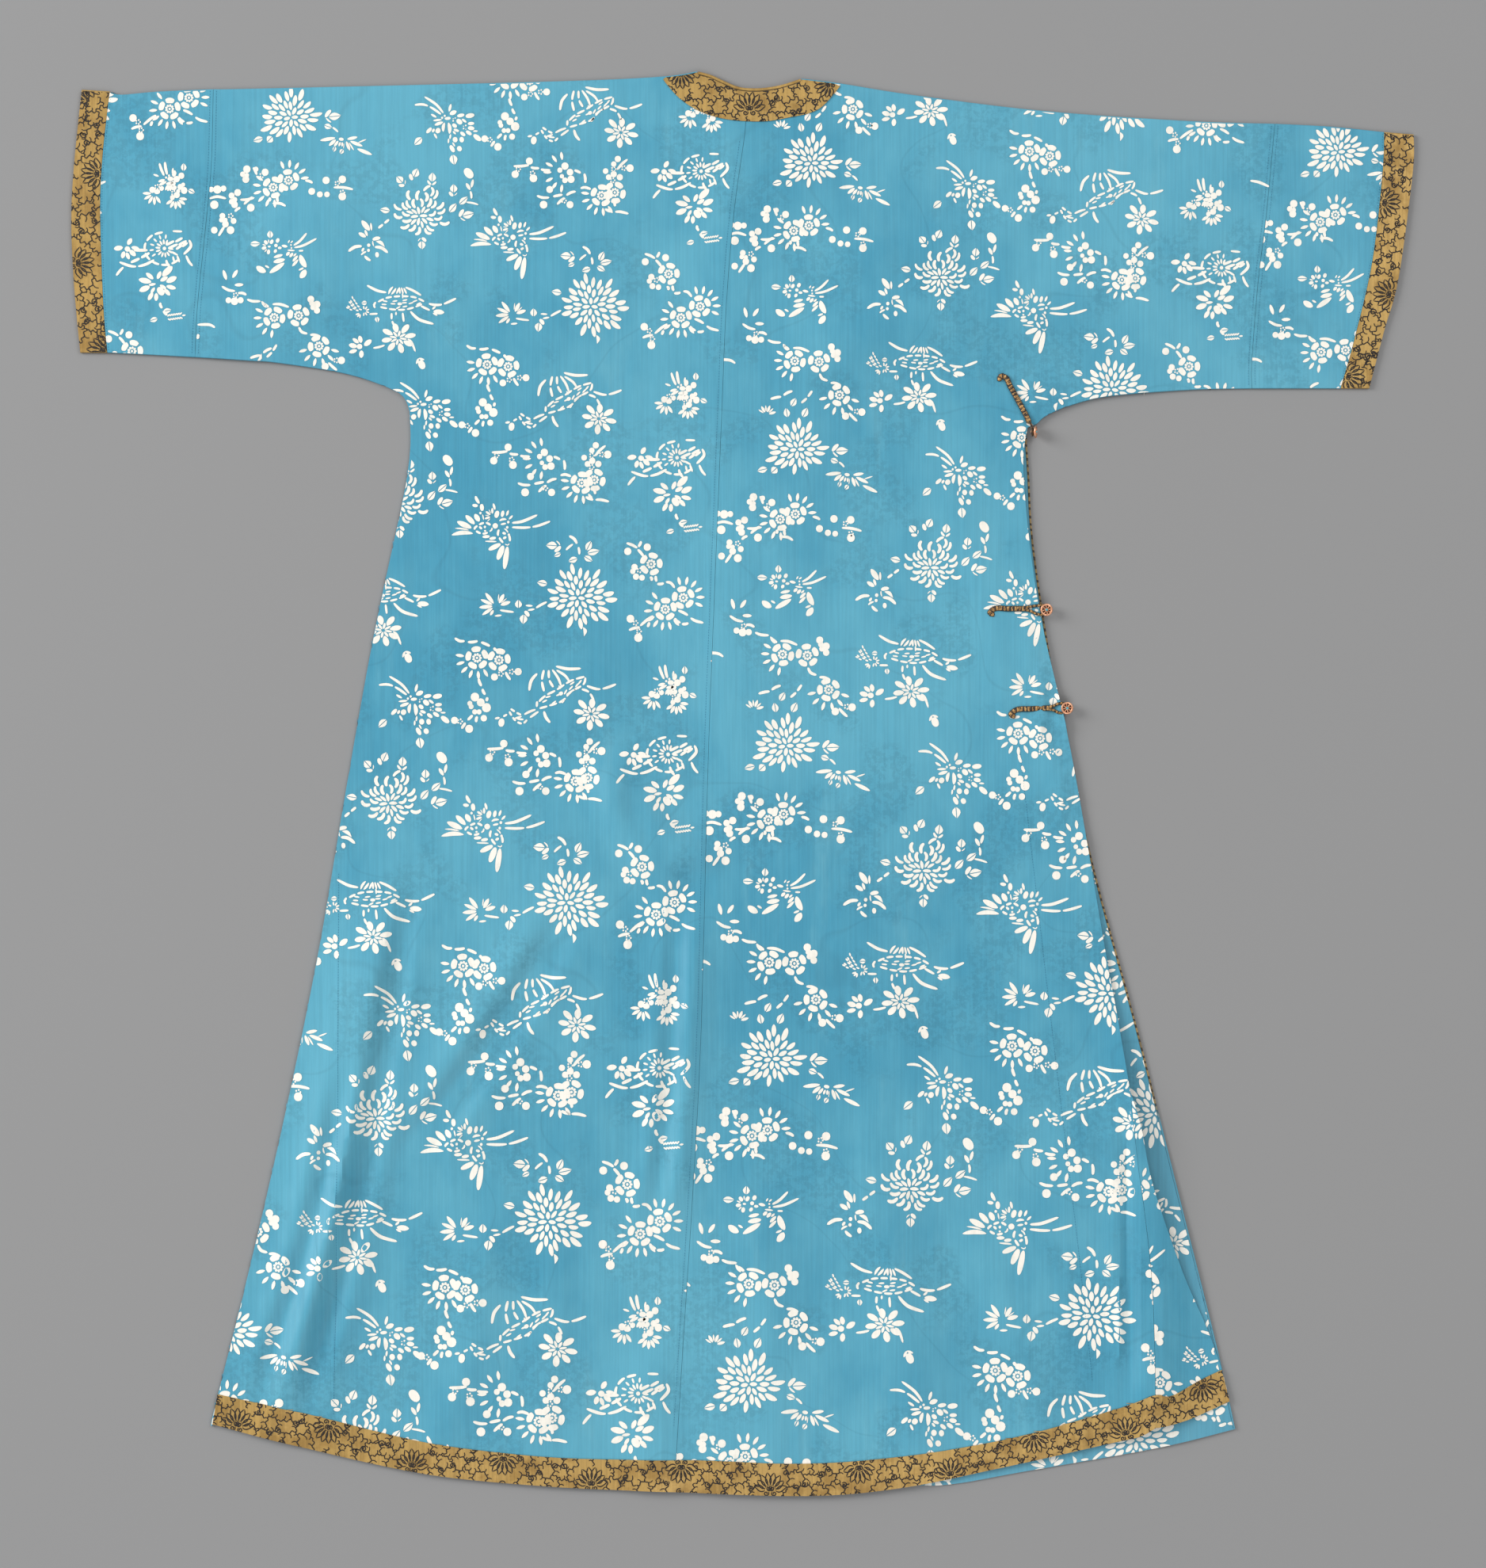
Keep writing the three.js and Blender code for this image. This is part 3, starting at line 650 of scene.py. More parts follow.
def weave(tree, vector, threads=1400.0):
    node = tree.nodes.new("ShaderNodeGroup")
    node.node_tree = weave_group
    node.inputs["Threads"].default_value = threads
    tree.links.new(vector, node.inputs["Vector"])
    return node


damask_group, given, put = new_group(
    "damask_sprays", [("Vector", "NodeSocketVector", None)], [("Spray", "NodeSocketFloat")]
)
flat = mapped(damask_group, given.outputs["Vector"], (1, 1, 0))
wander = noise_of(damask_group, flat, 5.5, 1.5, 0.4)
from_middle = maths(damask_group, "ABSOLUTE", maths(damask_group, "SUBTRACT", wander, 0.5))
branch = ranged(damask_group, from_middle, 0.006, 0.0)
leaflets = ranged(damask_group, noise_of(damask_group, flat, 150, 3, 0.7), 0.44, 0.56)
patches = ranged(damask_group, noise_of(damask_group, flat, 11.0, 2), 0.50, 0.58)
leaflets = maths(damask_group, "MULTIPLY", leaflets, patches)
spray = maths(damask_group, "MAXIMUM", leaflets, maths(damask_group, "MULTIPLY", branch, 0.7))
damask_group.links.new(spray, put.inputs["Spray"])


def silk(name, light, deep, worn):
    material, tree, paint, place = new_material(name)
    cloth_weave = weave(tree, place)
    spray = tree.nodes.new("ShaderNodeGroup")
    spray.node_tree = damask_group
    tree.links.new(place, spray.inputs["Vector"])
    broad = noise_of(tree, mapped(tree, place, (1, 0.7, 1)), 3.2, 3, 0.55)
    cloud = noise_of(tree, mapped(tree, place, (1.6, 1, 1)), 14, 3, 0.6)
    tone = summed(tree, (broad, 0.7), (cloud, 0.3))
    colour = blended(tree, ranged(tree, tone, 0.36, 0.66), light, deep)
    rubbed = noise_of(tree, mapped(tree, place, (2.2, 0.5, 1)), 8.0, 5, 0.65)
    colour = blended(tree, ranged(tree, rubbed, 0.56, 0.80, 0, 0.5), colour, worn)
    shade = ranged(tree, cloth_weave.outputs["Streak"], 0.34, 0.66, 0.95, 1.06)
    shade = maths(tree, "SUBTRACT", shade, maths(tree, "MULTIPLY", spray.outputs["Spray"], 0.12))
    shaded(tree, paint, colour, shade)
    rough = ranged(tree, spray.outputs["Spray"], 0.0, 1.0, 0.50, 0.62)
    tree.links.new(rough, paint.inputs["Roughness"])
    paint.inputs["Specular IOR Level"].default_value = 0.35
    paint.inputs["Sheen Weight"].default_value = 0.08
    paint.inputs["Sheen Roughness"].default_value = 0.45
    bumped(tree, paint, cloth_weave.outputs["Height"], 0.25)
    return material


blue_silk = silk("blue_silk", tint(84, 156, 178), tint(58, 136, 163), tint(104, 166, 182))
left_half.data.materials.append(blue_silk)
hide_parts("body_left")
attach(left_half, "root")


# ------------------------------------------------------------------ right half
# The second loom width: the back, the inner front and the upper sleeve of the right side, sewn to
# the left half down the centre back. Its inner front rides up on the overlap.
inner_front_margin = 6
shoulder_line_right = [
    shoulder_right, (98.7, 688.4), (168, 677.4), (295, 661.8), (439.5, 651.7), (524.5, 649),
]
sleeve_seam_right = [(524.5, 649), (516, 558), (508, 493), (502, 416), (502, 388.8)]
underarm_right = [
    (281, 349.8), (289.8, 353.7), (299, 361.5), (322.5, 371.7), (361.5, 381), (439.5, 387.3),
    (502, 388.8),
]
hem_right = [
    (-66.5, -697), (63.6, -700.8), (156, -693), (260, -672), (364, -648.6), (391, -641.6),
    (406, -633),
]

top_right = top_line(shoulder_line_right, 30, 0, -seam_half)
piece_right = smooth_line(sleeve_seam_right, 18)[1:]
arm_right = smooth_line(underarm_right, 42)
edge_right = smooth_line(side_right, 36)
gore_line = smooth_line(gore_seam, 30)
hem_right_line = smooth_line(hem_right, 30)
right_outline = outline_of(
    back_along(shifted(centre, seam_half)),
    neck[neck[:, 0] > seam_top[0] + 1],
    top_right,
    shifted(piece_right, -seam_half),
    back_along(arm_right),
    edge_right,
    shifted(gore_line, -seam_half),
    back_along(hem_right_line),
)
inner_edge = side_and_gore[side_and_gore[:, 1] > gore_seam[5][1] + 15]
inner_hem = hem_right_line[(hem_right_line[:, 0] > 2) & (hem_right_line[:, 0] < gore_seam[5][0] - 15)]
inner_front_outline = outline_of(
    [
        (seam_half, hem_right[0][1] + inner_front_margin),
        (seam_half, shoulder_right[1] - front_neck_depth)
    ],
    back_along(front_neck_line(*shoulder_right)),
    top_right,
    shifted(piece_right, -seam_half),
    back_along(arm_right),
    shifted(inner_edge, -inner_front_margin),
    back_along(shifted(inner_hem, 0, inner_front_margin)),
)
right_half = Sheet()
right_half.face(right_outline, back_top)
right_half.face(inner_front_outline, inner_front_face, upward=False)
right_half.mesh.normal_update()
right_half.close(top_right, 6, fold_radius)
right_half.mesh.normal_update()
right_half.close(arm_right[3:], 3, 0.5)
right_half = right_half.finish("right_half")
right_half.data.materials.append(blue_silk)
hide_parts("body_right")
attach(right_half, "root")


# ------------------------------------------------------------------ front overlap
# The outer right front, joined to the left front at the centre. It lies undermost, and its edge
# shows inside up past the side of the back. A narrow brocade edging finishes its side.
piping_width = 2.4
overlap_side = [
    (281, 340), (283.5, 303), (289, 225), (314, 69), (348.3, -87), (390.4, -243), (429.4, -399),
    (468.4, -555), (486.3, -635.3),
]
overlap_hem = [(0, -692), (156, -691), (206, -689.9), (278, -677.4), (406, -654.8), (486.3, -635.3)]


def overlap_top(x, y):
    """The overlap's upper face, with the slight ripples of its free edge."""
    free = ease(-6, 30, x - x_on(side_and_gore, y))
    return cloth + free * (0.5 + 0.5 * np.sin(y / 37 + x / 60)) * 1.1


overlap_edge = shifted(smooth_line(overlap_side, 42), -piping_width - gap)
overlap_outline = outline_of(
    shifted(smooth_line(lapel_edge, 24), seam_half),
    overlap_edge,
    back_along(smooth_line(overlap_hem, 30)),
)
overlap = Sheet()
overlap.face(overlap_outline, overlap_top)
overlap = overlap.finish("front_overlap_cloth", wall=0.9)
inside_silk = silk("inside_silk", tint(86, 150, 172), tint(72, 138, 161), tint(102, 160, 176))
overlap.data.materials.append(inside_silk)
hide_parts("front_overlap")
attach(overlap, "root")


# ------------------------------------------------------------------ sleeve ends
# Each sleeve is lengthened with a piece of the same silk, joined at the selvedge. It is a tube
# pressed flat, folded at the top and sewn shut along the bottom.
cuff_seam_left = [(-622, 680.8), (-629, 618), (-631.4, 563), (-628.3, 471), (-624.4, 424)]
cuff_seam_right = [(632, 640.8), (630.6, 602), (620.5, 514), (602.6, 436), (589.3, 388.8)]
sleeve_top_left = [sleeve_seam_left[0], (-576, 680.6), (-611, 677.6), cuff_seam_left[0]]
sleeve_top_right = [sleeve_seam_right[0], (579, 646.2), cuff_seam_right[0]]
cuff_in_left = smooth_line(cuff_seam_left, 24)[1:]
cuff_in_right = smooth_line(cuff_seam_right, 24)[1:]


def sleeve_top(x, y):
    """The upper layer of a sleeve end, level at the folded top."""
    level = calm(x, y)
    return layer + cloth + 0.5 * gentle(x, y) * level + 0.2 * level


def flat_tube(name, top, far, bottom, near):
    """Two layers, one over the other, joined round the top fold and along the bottom."""
    outline = outline_of(top, far, bottom, near)
    foot = np.array([far[-1], *bottom, near[0]])
    tube = Sheet()
    tube.face(outline, sleeve_top)
    tube.face(outline, flat_face, upward=False)
    tube.mesh.normal_update()
    tube.close(top, 6, fold_radius)
    tube.mesh.normal_update()
    tube.close(foot, 3, 0.5)
    return tube.finish(name), outline


sleeve_end_left, sleeve_left_outline = flat_tube(
    "left_sleeve_end",
    top_line(sleeve_top_left, 12, -seam_half, seam_half),
    shifted(cuff_in_left, seam_half),
    [(-576, 421.6)],
    back_along(shifted(piece_left, -seam_half)),
)
sleeve_end_right, sleeve_right_outline = flat_tube(
    "right_sleeve_end",
    top_line(sleeve_top_right, 12, seam_half, -seam_half),
    shifted(cuff_in_right, -seam_half),
    [],
    back_along(shifted(piece_right, seam_half)),
)
for sleeve_end, node, width in [
    (sleeve_end_left, "sleeve_end_left", 0.11),
    (sleeve_end_right, "sleeve_end_right", 0.13),
]:
    sleeve_end.data.materials.append(blue_silk)
    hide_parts(node)
    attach(sleeve_end, "root")


# ------------------------------------------------------------------ side gore
# The side piece of the right back. It falls from the ridge at its seam and lies flat beyond.
hem_gore = [(406, -633), (421.6, -630.6), (445, -623.6), (480, -608)]
gore_side = [
    (381.6, -303), (392, -338), (403.7, -395), (433.3, -480), (457.5, -535.5), (472.3, -577),
    (480, -608),
]
gore_edge_line = smooth_line(gore_side, 30)
hem_gore_line = smooth_line(hem_gore, 12)
gore_outline = outline_of(
    back_along(shifted(gore_line[1:], seam_half)), gore_edge_line, back_along(hem_gore_line)[:-1]
)
gore = Sheet()
gore.face(gore_outline, back_top)
gore = gore.finish("side_gore")
gore.data.materials.append(blue_silk)
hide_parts("side_gore_right")
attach(gore, "root")


# ------------------------------------------------------------------ brocade bands
# Gold satin brocade, sewn flat along the hem, round both cuffs and round the neck.
band_wall = 0.5
band_top = [
    (-516, -601), (-429, -620), (-309, -648.6), (-180, -663.4), (-44, -665.7), (63.6, -669),
    (156, -662), (260, -645), (364, -616.6), (404.5, -600.5), (421.6, -602), (451, -587),
    (472.3, -577),
]
cuff_edge_left = [(-649.5, 682.5), (-657, 609), (-659.8, 553), (-657, 489), (-651, 424)]
cuff_edge_right = [(661, 638.5), (660.3, 602), (646.2, 497), (632, 445), (617.4, 388.8)]
facing_edge = [
    (-79.2, 695), (-71.4, 684.5), (-58, 671), (-38, 659.5), (-12, 652.5), (21.5, 651), (47, 655),
    (67.5, 659.5), (81, 667.3), (98.7, 688),
]


def brocade(name, gold, dull):
    """Gold satin with a fine rib, rubbed duller in places."""
    material, tree, paint, place = new_material(name)
    cloth_weave = weave(tree, place, 900.0)
    wear = ranged(tree, noise_of(tree, place, 38, 4, 0.6), 0.42, 0.66)
    colour = blended(tree, wear, gold, dull)
    shade = ranged(tree, cloth_weave.outputs["Streak"], 0.3, 0.7, 0.82, 1.12)
    shaded(tree, paint, colour, shade)
    tree.links.new(ranged(tree, wear, 0, 1, 0.40, 0.54), paint.inputs["Roughness"])
    paint.inputs["Metallic"].default_value = 0.3
    bumped(tree, paint, cloth_weave.outputs["Height"], 0.35)
    return material


gold_brocade = brocade("gold_brocade", tint(180, 146, 82), tint(152, 119, 60))


def band_face(x, y):
    return back_top(x, y) + gap + 0.55


hem_line = np.concatenate([hem_left_line, hem_right_line[1:], hem_gore_line[1:]])
band_top_line = smooth_line(band_top, 84)
hem_band_outline = outline_of(band_top_line, back_along(hem_line))
hem_band = Sheet()
hem_band.face(hem_band_outline, band_face)
hem_band = hem_band.finish("hem_band_cloth", wall=band_wall)
hem_band.data.materials.append(gold_brocade)
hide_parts("hem_band")
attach(hem_band, "root")

cuff_left, cuff_left_outline = flat_tube(
    "left_cuff_band",
    top_line([cuff_seam_left[0], cuff_edge_left[0]], 4, -seam_half, 0),
    smooth_line(cuff_edge_left, 24)[1:],
    [],
    back_along(shifted(cuff_in_left, -seam_half)),
)
cuff_right, cuff_right_outline = flat_tube(
    "right_cuff_band",
    top_line([cuff_seam_right[0], cuff_edge_right[0]], 4, seam_half, 0),
    smooth_line(cuff_edge_right, 24)[1:],
    [],
    back_along(shifted(cuff_in_right, seam_half)),
)
for cuff, node in [(cuff_left, "cuff_band_left"), (cuff_right, "cuff_band_right")]:
    cuff.data.materials.append(gold_brocade)
    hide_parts(node)
    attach(cuff, "root")

facing_line = smooth_line(facing_edge, 54)
facing_line = facing_line[
    facing_line[:, 1] < y_on(np.concatenate([top_left, top_right]), facing_line[:, 0]) - 1
]
facing_outline = outline_of(
    facing_line,
    back_along(top_right[top_right[:, 0] < facing_line[-1, 0]]),
    back_along(neck)[1:-1],
    top_left[top_left[:, 0] > facing_line[0, 0]],
)
facing = Sheet()
facing.face(facing_outline, band_face)
facing = facing.finish("neck_facing_cloth", wall=band_wall)
facing.data.materials.append(gold_brocade)
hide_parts("neck_facing")
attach(facing, "root")


# ------------------------------------------------------------------ neck binding and piping
# A bias strip of brocade rolled over the neck edge, and the narrow edging of the overlap's side.
def frame_point(x, y, z):
    return ((x - robe_middle[0]) * mm, (y - robe_middle[1]) * mm, z * mm)


def rolled_cord(name, path, thickness):
    """A round cord along points in millimetres, its ends closed."""
    line = bpy.data.curves.new(name, "CURVE")
    line.dimensions = "3D"
    spline = line.splines.new("NURBS")
    spline.points.add(len(path) - 1)
    for point, (x, y, z) in zip(spline.points, path):
        point.co = (*frame_point(x, y, z), 1)
    spline.order_u = 4
    spline.use_endpoint_u = True
    spline.resolution_u = 4
    line.bevel_depth = thickness / 2 * mm
    line.bevel_resolution = 3
    line.use_fill_caps = True
    piece = bpy.data.objects.new(name, line)
    bpy.context.collection.objects.link(piece)
    bpy.ops.object.select_all(action="DESELECT")
    bpy.context.view_layer.objects.active = piece
    piece.select_set(True)
    bpy.ops.object.convert(target="MESH")
    piece = bpy.context.object
    bpy.ops.object.shade_smooth_by_angle(angle=math.radians(50))
    return piece


binding_height = layer + cloth
binding_line = shifted(smooth_line(neck_curve, 60), 0, -binding_width / 2)[1:-1]
binding = rolled_cord("neck_binding_roll", [(x, y, binding_height) for x, y in binding_line], 2.9)
binding.data.materials.append(gold_brocade)
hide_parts("neck_binding")
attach(binding, "root")

piping_outline = outline_of(
    shifted(overlap_edge, gap), back_along(shifted(overlap_edge, gap + 0.7 * piping_width))
)


def piping_top(x, y):
    return overlap_top(x, y) + 0.3


piping = Sheet()
piping.face(piping_outline, piping_top)
piping = piping.finish("overlap_edging", wall=0.9)
dashed_edge = brocade("dashed_edge", tint(150, 126, 82), tint(122, 104, 68))
tree = dashed_edge.node_tree
paint = tree.nodes["Principled BSDF"]
place = tree.nodes.new("ShaderNodeTexCoord").outputs["Object"]
apart = tree.nodes.new("ShaderNodeSeparateXYZ")
tree.links.new(place, apart.inputs[0])
beat = summed(tree, (apart.outputs["Y"], 900.0), (noise_of(tree, place, 60, 2), 8.0))
dashes = ranged(tree, maths(tree, "SINE", beat), 0.1, 0.4)
plain_gold = paint.inputs["Base Color"].links[0].from_socket
# Below the knee the edging is turned under, and only blue silk shows.
edging = blended(tree, dashes, plain_gold, tint(60, 50, 34))
edging = blended(tree, ranged(tree, apart.outputs["Y"], -0.34, -0.31), tint(76, 140, 162), edging)
tree.links.new(edging, paint.inputs["Base Color"])
piping.data.materials.append(dashed_edge)
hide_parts("overlap_piping")
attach(piping, "root")


# ------------------------------------------------------------------ stencil print
# Cream paste brushed through a cut stencil, so that every motif is a cluster of separate islands.
# Each motif is cut once in millimetres, and the repeat is set out over every length of silk.
random.seed(7)
blunt = 0.55
bridge = 1.6
midrib_half = 0.35
blossom_radius = 8.5
packing_tries = 1100


def reach_along(line):
    """How far each point of a line lies from its start, along the line."""
    return np.concatenate([[0], np.cumsum(np.hypot(*np.diff(line, axis=0).T))])


def points_on(line, reach, at):
    """The points of a line at the given distances along it."""
    return np.stack([np.interp(at, reach, line[:, 0]), np.interp(at, reach, line[:, 1])], 1)


def island(path, width, ends=1.0, belly=1.0):
    """One island of the print: ribs across a path, (left, right) points from end to end.
    With ends at 1 it is an oval, above that a pointed lens and below it a blunt bar."""
    path = np.array(path, float)
    run = np.gradient(path, axis=0)
    run /= np.maximum(np.hypot(run[:, 0], run[:, 1]), 1e-9)[:, None]
    reach = reach_along(path)
    share = np.clip(reach / max(reach[-1], 1e-9), 0, 1) ** belly
    half = width / 2 * (2 * np.sqrt(share * (1 - share))) ** ends
    half[[0, -1]] = 0
    across = np.stack([-run[:, 1], run[:, 0]], 1) * half[:, None]
    return np.stack([path + across, path - across], 1)


def spaced(length):
    """Shares along an island, closest at its ends, more of them for a longer one."""
    count = 5 if length < 4 else 6 if length < 9 else 8 if length < 16 else 12
    return (1 - np.cos(np.linspace(0, math.pi, count + 1))) / 2


def polar(x, y, reach, a):
    """The place that lies reach from (x, y) in the direction a, in radians."""
    return x + reach * math.cos(a), y + reach * math.sin(a)


def petal(x, y, turn, length, width, bend=0.0, ends=1.25, belly=1.0):
    """A petal from its foot at (x, y), heading at turn degrees, bowed sideways by bend."""
    t = spaced(length)
    a = math.radians(turn)
    side = bend * np.sin(np.pi * t)
    along, up = polar(x, y, length * t, a)
    path = np.stack([along - side * math.sin(a), up + side * math.cos(a)], 1)
    return [island(path, 1.08 * width, ends, belly)]


def hook(x, y, turn, length, width, curl):
    """A petal that curls over at its tip, by curl degrees in all."""
    t = spaced(length)
    heading = np.radians(turn + curl * t**1.6)
    step = np.diff(t, prepend=0)[:, None] * length
    path = np.array([x, y]) + np.cumsum(np.stack([np.cos(heading), np.sin(heading)], 1) * step, 0)
    return [island(path, width, 0.6)]


def blob(x, y, radius, long=1.0, turn=0.0):
    half = radius * long
    a = math.radians(turn)
    return petal(*polar(x, y, -half, a), turn, 2 * half, 2 * radius, 0, 0.9)


def stroke(points, width=2.1):
    """A twig or tendril along a smooth line of points."""
    count = len(spaced(np.hypot(*np.diff(np.array(points, float), axis=0).T).sum())) - 1
    return [island(smooth_line(points, count), 1.15 * width, blunt)]


def broken(points, parts, width=2.1):
    """A long tendril in several strokes, with a small bridge of bare silk between each two."""
    line = smooth_line(points, 60)
    reach = reach_along(line)
    made = []
    for k in range(parts):
        low, high = reach[-1] * k / parts + bridge / 2, reach[-1] * (k + 1) / parts - bridge / 2
        at = low + (high - low) * spaced(high - low)
        made.append(island(points_on(line, reach, at), 1.15 * width, blunt))
    return made


def fan(x, y, start, end, count, foot, length, width, ends=1.25, bend=0.0, grow=0.0):
    """Petals that radiate about (x, y) between two angles, their feet foot away from it."""
    made = []
    for k in range(count):
        share = k / max(count - 1, 1)
        turn = start + (end - start) * share
        a = math.radians(turn)
        long = length * (1 + grow * share)
        made += petal(*polar(x, y, foot, a), turn, long, width, bend, ends)
    return made


def each(cut, rows, *rest):
    """One kind of cut, made at every row. What follows the rows is the same for them all."""
    return [isle for row in rows for isle in cut(*row, *rest)]


def placed(islands, x=0.0, y=0.0, turn=0.0, size=1.0, flatten=1.0):
    c, s = math.cos(math.radians(turn)), math.sin(math.radians(turn))
    spin = np.array([[c, s], [-s, c]])
    return [(i * (size, size * flatten)) @ spin + (x, y) for i in islands]


def half_leaf(x, y, turn, length, width, side):
    """Half of a leaf: straight along its midrib and full on its outer side."""
    t = spaced(length)
    a = math.radians(turn)
    outer = midrib_half + width / 2 * np.sin(np.pi * t**0.85)
    edges = np.stack([np.full_like(t, midrib_half), np.maximum(outer, midrib_half)], 1) * side
    edges[[0, -1]] = midrib_half * side
    along, up = polar(x, y, length * t, a)
    return [np.stack([along[:, None] - edges * math.sin(a), up[:, None] + edges * math.cos(a)], 2)]


def split_leaf(x=0, y=0, turn=0, length=11.0, width=7.4):
    """A leaf in two halves, parted along its midrib."""
    half = width * 0.86
    return half_leaf(x, y, turn, length, half, 1) + half_leaf(x, y, turn, length * 0.96, half, -1)


def three_part_leaf(x=0, y=0, turn=0, length=11.0):
    """A leaf seen half turned: two halves at its tip and a lobe on each side of its foot."""
    tip = split_leaf(*polar(x, y, 3.6, math.radians(turn)), turn, length * 0.82, 8.2)
    return tip + each(petal, [
        (x, y, turn + 46, length * 0.62, 3.6, 0.5, 0.9),
        (x, y, turn - 46, length * 0.58, 3.4, -0.5, 0.9),
    ])


def stamens(x, y, radius=2.1):
    """Five dots in a ring."""
    return each(blob, [(*polar(x, y, radius, k * 1.257), 0.85) for k in range(5)])


def blossom_wheel(x, y, radius):
    """The heart of a blossom: a dot, and a wheel of nine short petals about it."""
    made = blob(x, y, radius * 0.24)
    for k in range(9):
        a = math.radians(360 * k / 9)
        foot = polar(x, y, radius * 0.42, a)
        made += petal(*foot, math.degrees(a), radius * 0.56, radius * 0.44, 0, 0.8)
    return made


def plum(x=0, y=0, turn=90):
    """A plum blossom: five rounded petals about a wheel of stamens."""
    made = blossom_wheel(x, y, blossom_radius * 0.57)
    for k in range(5):
        angles = math.radians(turn + 360 * k / 5) + math.radians(30) * (2 * spaced(9) - 1)
        rim = np.stack([x + blossom_radius * np.cos(angles), y + blossom_radius * np.sin(angles)], 1)
        made.append(island(rim, blossom_radius * 0.66, 0.5))
    return made


def bridged(islands, space=0.7, smallest=0.5):
    """The islands with a bridge of bare silk between them: one that would touch is cut smaller."""
    kept, places, halves = [], np.zeros((0, 2)), np.zeros(0)
    for isle in islands:
        rib_middles, centre = isle.mean(1, keepdims=True), isle.mean((0, 1))
        for size in np.arange(1.0, smallest - 0.05, -0.1):
            cut = centre + (rib_middles + (isle - rib_middles) * size - centre) * (0.5 + 0.5 * size)
            middle, half = cut.mean(1), np.hypot(*(cut[:, 0] - cut[:, 1]).T) / 2
            apart = np.hypot(middle[:, :1] - places[:, 0], middle[:, 1:] - places[:, 1])
            if not kept or (apart - half[:, None] - halves).min() > space:
                kept.append(cut)
                places, halves = np.concatenate([places, middle]), np.concatenate([halves, half])
                break
    return kept


def packed_flower(left, right, up, down, one_petal):
    """Petals packed from the heart outwards, a golden angle apart, each one that finds room."""
    made = []
    for k in range(packing_tries):
        share = math.sqrt(k / packing_tries)
        a = math.radians(137.5 * k)
        wide, high = right if math.cos(a) > 0 else left, up if math.sin(a) > 0 else down
        x, y = wide * math.cos(a), high * math.sin(a)
        made += one_petal(x * 0.70 * share, y * 0.70 * share, math.degrees(math.atan2(y, x)), share)
    return bridged(made, 0.6, 0.95)


def pointed_petal(x, y, turn, share):
    length = (7.0 + 5.6 * share) * random.uniform(0.88, 1.1)
    bow = -1.0 * math.cos(math.radians(turn)) * share
    return petal(x, y, turn + random.uniform(-7, 7), length, 3.4 + 1.3 * share, bow, 1.2)


def curled_petal(x, y, turn, share):
    side = 1 if math.cos(math.radians(turn)) > 0 else -1
    if share < 0.34:
        return petal(x, y, turn, 8.0, 2.9, 0.3 * side, 1.2)
    curl = side * random.uniform(80, 125)
    return hook(x, y, turn - curl * 0.25, 9.4 + 1.8 * share, 3.4, curl)


def long_chrysanthemum():
    made = packed_flower(36, 27, 28, 23, pointed_petal)
    return bridged(
        placed(made, 0, 0, 8) + stroke([(-10, 19), (-12, 23), (-10, 29)], 1.9)
        + each(split_leaf, [(-12, 31, 104, 9, 6.6), (-9, 42, 62, 9, 6.6), (3, 32, 66, 10, 7.2)])
        + fan(-33, 32, 20, 150, 6, 2.6, 7.2, 2.6, 1.4) + broken([(0, 45), (6, 51), (11, 59)], 2, 2.3)
        + stroke([(28, 3), (31, 0), (28, -3)], 1.8) + three_part_leaf(34, 0, 6, 15)
        + split_leaf(33, -8, -18, 8, 6) + stroke([(41, -10), (44, -12), (47, -15)], 1.8)
        + placed(narrow_spray(), 50, -25) + split_leaf(-29, -21, 196, 10, 6.6)
        + three_part_leaf(-17, -17, 226, 9),
        0.15, 0.4,
    )


def full_chrysanthemum():
    made = packed_flower(33, 38, 35, 28, pointed_petal)
    return bridged(
        placed(made, 0, 0, -6) + stroke([(-9, 60), (-4, 57), (-1, 52)], 2.6)
        + three_part_leaf(-17, 50, 176, 13) + split_leaf(-17, 43, 205, 7, 4.6)
        + stroke([(-12, 46), (-9, 49), (-5, 52)], 2.0) + broken([(0, 50), (1, 45), (1, 41)], 1, 2.2)
        + each(split_leaf, [
            (-1, 38, 198, 9, 6.4), (8, 46, 62, 10, 6.6), (9, 43, 12, 12, 6.6), (6, 40, -32, 9, 6.0),
        ])
        + stroke([(12, 37), (13, 31), (14, 24)], 2.4) + split_leaf(-30, 13, 168, 10, 6.8)
        + stroke([(-30, -4), (-36, -7), (-41, -10)], 2.2)
        + each(petal, [(-44, -8, 176, 7, 2.0), (-42, -11, 190, 7, 2.0)])
        + three_part_leaf(-52, -13, 262, 11) + split_leaf(-58, -10, 88, 8, 7.4)
        + stroke([(-62, -14), (-70, -13), (-76, -12)], 2.0)
        + each(fan, [(-78, -8, 18, 84, 4, 3, 10, 3.6, 1.3), (-80, -8, 128, 214, 4, 3, 13, 3.6, 1.4)])
        + each(petal, [(-82, -12, 238, 6, 2.6), (-74, -17, 186, 7, 2.0)])
        + three_part_leaf(4, -25, 276, 11),
        0.15, 0.4,
    )


